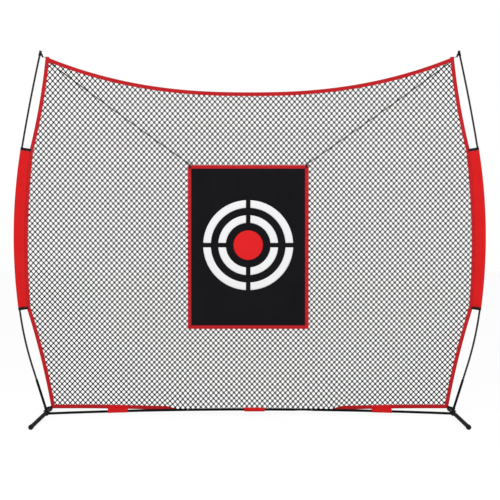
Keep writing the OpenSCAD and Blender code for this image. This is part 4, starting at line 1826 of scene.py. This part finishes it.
@dataclass(frozen=True)
class BarStrap:
    """A hook-and-loop strap: sewn to the hem's front, down behind the bar and once round it."""

    node: str
    middle_x: float
    wide: float = 130.0
    thick: float = 1.5
    hem_front: float = 233.5
    below_crease: float = 2.0
    bar_gap: float = 0.35
    root: float = 24.0
    turn: float = 330.0
    knee_over: tuple[float, float] = (1.0, 3.0)
    bow: float = 0.8
    wave: float = 0.35
    wave_l: float = 9.0
    lift: float = 0.15
    rows: tuple[float, float] = (3.0, 14.0)
    seam_in: float = 3.0
    stitch: Stitch = Stitch(5.0, 1.1, 0.5)
    loose: tuple[tuple[float, float], ...] = (
        (30.3, -5.2), (20.4, 1.7), (15.6, 5.6), (11.5, 9.6), (4.5, 12.0), (-3.4, 11.2),
        (-8.8, 6.2), (-10.4, -1.0), (-8.4, -8.4), (-1.6, -12.8), (7.5, -13.8), (16.5, -12.8),
        (23.5, -9.8), (26.2, -6.6), (24.2, -3.4),
    )

    def slack(self, x: float) -> np.ndarray:
        """The strap on the rolled hem: an easy loop, from the hem over the bar and back.

        Args:
            x: The distance from the middle of the net.

        Returns:
            Its middle line, as points with Y and Z.
        """
        line = relaxed(evenly(np.array(self.loose), 2.0), 10)
        return line + np.array([BAR.y, float(BAR.z(x))])

    def snug(self, x: float) -> np.ndarray:
        """The strap on the flat hem: straight down, and close round the bar.

        Args:
            x: The distance from the middle of the net.

        Returns:
            Its middle line, as points with Y and Z.
        """
        hem = float(OUTLINE.bottom_z(x))
        radius = BAR.wide / 2 + self.bar_gap + self.thick / 2
        turn = np.radians(np.linspace(self.root, self.root - self.turn, 34))
        around = np.array([BAR.y, float(BAR.z(x))])
        around = around + radius * np.stack([np.cos(turn), np.sin(turn)], axis=1)
        y = self.hem_front - self.thick / 2
        top = np.array([y, hem + OUTLINE.hem_w - self.below_crease])
        over_hem, over_bar = self.knee_over
        knee = np.array([y, max(hem + over_hem, around[0, 1] + over_bar)])
        t = np.linspace(0, 1, 8)[1:-1, None]
        bridge = knee + t * (around[0] - knee) + np.sin(math.pi * t) * np.array([0.0, self.bow])
        return np.concatenate([np.linspace(top, knee, 6), bridge, around])

    def across(self, inset: float, count: int) -> np.ndarray:
        """Places across the strap, from an inset at one edge to the same at the other."""
        half = self.wide / 2 - inset
        return np.linspace(self.middle_x - half, self.middle_x + half, count)

    def build(self) -> None:
        """The strap with its rows of stitches."""
        sewing = Sewing()
        profile = self.slack if ROLL.share(self.middle_x) > 0.5 else self.snug
        rings = []
        for x in self.across(0.0, 29):
            line = profile(x)
            wave = self.wave * math.sin((x - self.middle_x) / self.wave_l)
            line[:10, 0] += wave * np.linspace(0.2, 1, 10)
            rings.append(spot(x, *thickened(line, self.thick).T))
        sewing.cloth.loft(np.array(rings))
        x = self.across(self.seam_in, 30)
        for row in self.rows:
            z = OUTLINE.bottom_z(x) + OUTLINE.hem_w - self.below_crease - row
            y = self.hem_front - self.thick - self.lift
            at, over = (ROLL.turned(spot(x, deep, z)) for deep in (y, y + Face.FRONT))
            sewing.thread.stitches(at, (over - at) / MM, self.stitch)
        names = f"bar_{self.node}", f"{self.node}_stitches"
        strap, seams = sewing.pieces(names, Sewn.STRAP, self.node)
        long = float(steps_along(profile(self.middle_x))[-1]) * MM


@dataclass(frozen=True)
class Target:
    """The cloth target: a panel with a tape border, printed rings, and two tabs at its rings."""

    wide: float = 780.0
    tall: float = 1057.0
    top_z: float = 1610.0
    middle_x: float = -10.0
    plane_y: float = 223.0
    panel_t: float = 1.2
    panel_in: float = 1.5
    border_w: float = 23.0
    border_t: float = 2.4
    seam_in: float = 4.0
    sunk: float = 0.86
    ring_z: float = 1614.0
    radii: tuple[float, float] = (290.0, 193.0)
    ring_w: float = 49.0
    split: float = 29.0
    bull_r: float = 95.0
    bull_rise: float = 12.0
    ink_t: float = 0.3
    ink_sunk: float = 0.06
    tab: tuple[float, float, float] = (12.0, 26.0, 1.2)
    tab_inset: float = 14.0
    tab_bore: float = 1.75
    tab_past: float = 38.0
    tab_neck: float = 4.5
    tab_rows: tuple[float, float] = (2.5, 13.0)
    tab_seam_in: float = 1.5
    lift: float = 0.1
    free_over: float = 380.0
    loose_over: float = 60.0
    slow: tuple[float, float, float] = (1.5, 118.0, 0.7)
    quick: tuple[float, float, float] = (0.9, 61.0, 190.0)
    drape: tuple[float, float, float] = (0.8, 260.0, 128.0)
    stitch: Stitch = Stitch(5.0, 1.0, 0.5)
    tab_stitch: Stitch = Stitch(3.0, 0.8, 0.45)

    def ring_x(self, side: Side) -> float:
        """How far out a hanging ring's middle lies."""
        return self.wide / 2 + side.value * self.middle_x - self.tab_inset

    def wave(self, u: np.ndarray, v: np.ndarray) -> np.ndarray:
        """How far the hanging cloth lies behind its plane.

        Args:
            u: Distances right of the middle.
            v: Heights above the middle.

        Returns:
            The distance, with nothing at the two tabs.
        """
        down = self.tall / 2 - v
        free = smooth(down / self.free_over)
        loose = smooth(down / self.loose_over + (1 - np.abs(u) / (self.wide / 2)) * 1.5)
        high, wide, start = self.slow
        slow = high * np.sin(u / wide + start)
        high, wide, tall = self.quick
        slow += high * np.sin(u / wide - v / tall)
        high, wide, tall = self.drape
        return free * slow + high * loose * np.sin(v / tall + u / wide)

    def on_cloth(self, u: np.ndarray, v: np.ndarray, out: np.ndarray | float) -> np.ndarray:
        """Points on the cloth, in metres.

        Args:
            u: Distances right of the middle.
            v: Heights above the middle.
            out: How far behind the cloth's middle each point lies.

        Returns:
            Points with X, Y and Z.
        """
        y = self.plane_y + self.wave(u, v) + out
        return spot(self.middle_x + u, y, self.top_z - self.tall / 2 + v)

    def slab(self, u: np.ndarray, v: np.ndarray, front: float, back: float) -> np.ndarray:
        """Rings of a flat layer with a front and a back.

        Args:
            u: Distances right of the middle, as row by place.
            v: Heights above the middle.
            front: How far behind the cloth's middle the layer starts.
            back: How far behind it ends.

        Returns:
            Rings in metres, each a closed outline.
        """
        return np.concatenate(
            [self.on_cloth(u, v, front), self.on_cloth(u, v, back)[:, ::-1]], axis=1
        )

    def flat_piece(
        self, name: str, slabs: Sequence[np.ndarray], finish: Finish, slot: Slot, node: str
    ) -> bpy.types.Object:
        """A piece of flat layers, with its weave square to the target.

        Args:
            name: The piece's name.
            slabs: The rings of each layer.
            finish: What it is made of.
            slot: Its material slot.
            node: The CAD node that it replaces.

        Returns:
            The piece.
        """
        making = Making()
        for rings in slabs:
            making.loft(rings)
        making.lay_flat()
        return making.piece(name, finish, slot, node, Body.TARGET)

    def panel(self) -> bpy.types.Object:
        """The black cloth, in one closed slab that reaches under the border tape.

        Returns:
            The cloth.
        """
        half_w, half_h = self.wide / 2 - self.panel_in, self.tall / 2 - self.panel_in
        u, v = np.meshgrid(np.linspace(-half_w, half_w, 70), np.linspace(-half_h, half_h, 94))
        slab = self.slab(u, v, -self.panel_t / 2, self.panel_t / 2)
        return self.flat_piece("target_cloth", [slab], TARGET_CLOTH, Slot.TARGET, "target_panel")

    def border(self) -> list[bpy.types.Object]:
        """Tape folded round all four edges with mitred corners, and two rows of stitches.

        Returns:
            The tape and its stitches.
        """
        sewing = Sewing()
        h, w = self.border_t / 2, self.border_w
        outer, inner = self.seam_in, w - self.seam_in
        bed = h * self.sunk
        # From the sewn edge, down into each seam, to the fold.
        face = [(w, h * 0.6), (w - 1, h), (inner, bed), (w / 2, h * 1.04), (outer, bed)]
        cut = folded([*face, (1.4, h), (0.3, h * 0.5)])
        turns = np.array([(-1, -1), (1, -1), (1, 1), (-1, 1), (-1, -1)], float)
        half = np.array([self.wide, self.tall]) / 2
        ways = np.concatenate([np.linspace(p, q, 60) for p, q in pairwise(turns)])
        places = ways[:, None] * (half - cut[:, :1])
        sewing.cloth.loft(self.on_cloth(*np.moveaxis(places, -1, 0), cut[:, 1]))
        for inset in (outer, inner):
            for p, q in pairwise(turns):
                ways = p + np.linspace(0.004, 0.996, 80)[:, None] * (q - p)
                for face in Face:
                    path = self.on_cloth(*(ways * (half - inset)).T, face * (bed - self.lift))
                    sewing.thread.stitches(path, face.out, self.stitch)
        names = "target_edge_tape", "target_edge_stitches"
        return sewing.pieces(names, Sewn.TAPE, "target_border", Body.TARGET)

    def prints(self) -> list[bpy.types.Object]:
        """Two white rings, each cut in four by a cross of bare cloth, and a red bullseye.

        Returns:
            The rings as one piece, and the bullseye.
        """
        front = -self.panel_t / 2 - self.ink_t
        back = front + self.ink_t - self.ink_sunk
        rings = []
        for outer in self.radii:
            r = np.linspace(outer, outer - self.ring_w, 6)
            gap = np.arcsin(self.split / 2 / r)
            t = np.linspace(0, 1, 40)[:, None]
            for quarter in range(4):
                turn = quarter * math.pi / 2 + gap + t * (math.pi / 2 - 2 * gap)
                u, v = r * np.cos(turn), self.bull_rise + r * np.sin(turn)
                rings.append(self.slab(u, v, front, back))
        row = np.sin(np.linspace(-0.9995, 0.9995, 60) * math.pi / 2)
        half = self.bull_r * np.sqrt(1 - row**2)
        u = np.linspace(-half, half, 16, axis=1)
        v = np.broadcast_to(self.bull_rise + self.bull_r * row[:, None], u.shape)
        bull = self.slab(u, v, front, back)
        return [
            self.flat_piece("printed_rings", rings, INK_WHITE, Slot.WHITE, "target_rings"),
            self.flat_piece("printed_bullseye", [bull], INK_RED, Slot.RED, "target_bullseye"),
        ]

    def tabs(self) -> list[bpy.types.Object]:
        """A folded webbing tab round the straight side of each ring, with a box of stitches.

        Returns:
            Both tabs as one piece, and their stitches.
        """
        sewing = Sewing()
        wide, long, thick = self.tab
        radius = self.tab_bore + thick / 2
        leg = self.border_t / 2 + self.lift + thick / 2
        turn = np.radians(np.linspace(180 + self.tab_past, -self.tab_past, 20))
        arc = radius * np.stack([np.cos(turn), np.sin(turn)], axis=1)
        front = np.linspace((-leg, -long), (-leg, -self.tab_neck), 6)
        back = front[::-1] * np.array([-1, 1])
        y, z = thickened(np.concatenate([front, arc, back]), thick).T
        for side in Side:
            middle = side.value * self.ring_x(side)
            x = middle + np.linspace(-wide / 2, wide / 2, 9)[:, None]
            sewing.cloth.loft(spot(x, self.plane_y + y, self.ring_z + z))
            half = wide / 2 - self.tab_seam_in
            x = middle + np.linspace(-half, half, 8)
            for row in self.tab_rows:
                front_y = self.plane_y - leg - thick / 2 - self.lift
                path = spot(x, front_y, self.ring_z - long + row)
                sewing.thread.stitches(path, Face.FRONT.out, self.tab_stitch)
        names = "ring_tabs", "ring_tab_stitches"
        return sewing.pieces(names, Sewn.WEBBING, "target_tabs", Body.TARGET)

    def build(self) -> None:
        """The whole target: its cloth, border tape, prints and tabs."""
        cloth = self.panel()
        others = [*self.border(), *self.prints(), *self.tabs()]


TARGET = Target()

CARRIED: dict[str, Finish] = {
    "base_tube": BASE_PAINT,
    "foot_tube": BASE_PAINT,
    "hub_bracket": HUB_PAINT,
    "pole_socket": HUB_PAINT,
    "pivot": BLACK_ZINC,
    "snap_button": ZINC,
    "button_spring": SPRING,
    "foot_cap": RUBBER,
    "pole": FIBREGLASS,
    "ferrule": FERRULE,
    "shock_cord": SHOCK_CORD,
    "tip_cap": NYLON,
    "hanging_ring": RING_ENAMEL,
}


def finish_carried(nodes: dict[str, bpy.types.Object]) -> None:
    """Give each CAD node that no piece above stands in for its finish.

    Args:
        nodes: The frame's nodes by name.
    """
    for name, node in nodes.items():
        match = max((start for start in CARRIED if name.startswith(start)), key=len, default=None)
        if match:
            CARRIED[match].wear(node)
            LOG.info("%s: CAD form in %s", name, CARRIED[match].name)


def main() -> None:
    """Build the golf net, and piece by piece."""
    logging.basicConfig(level=logging.INFO, format="%(message)s")
    bpy.context.scene.view_settings.view_transform = "Standard"
    Studio().build()
    for side in Side:
        HangingCord(side).build()
        Lashing(side).build()
    Netting().build()
    HemTape().build()
    Sleeves().build()
    for side in Side:
        TipPocket(side).build()
    for node, x in (("strap_left", -850.0), ("strap_center", 30.0), ("strap_right", 850.0)):
        BarStrap(node, x).build()
    TARGET.build()
    finish_carried(frame["nodes"])


if __name__ == "__main__":
    main()
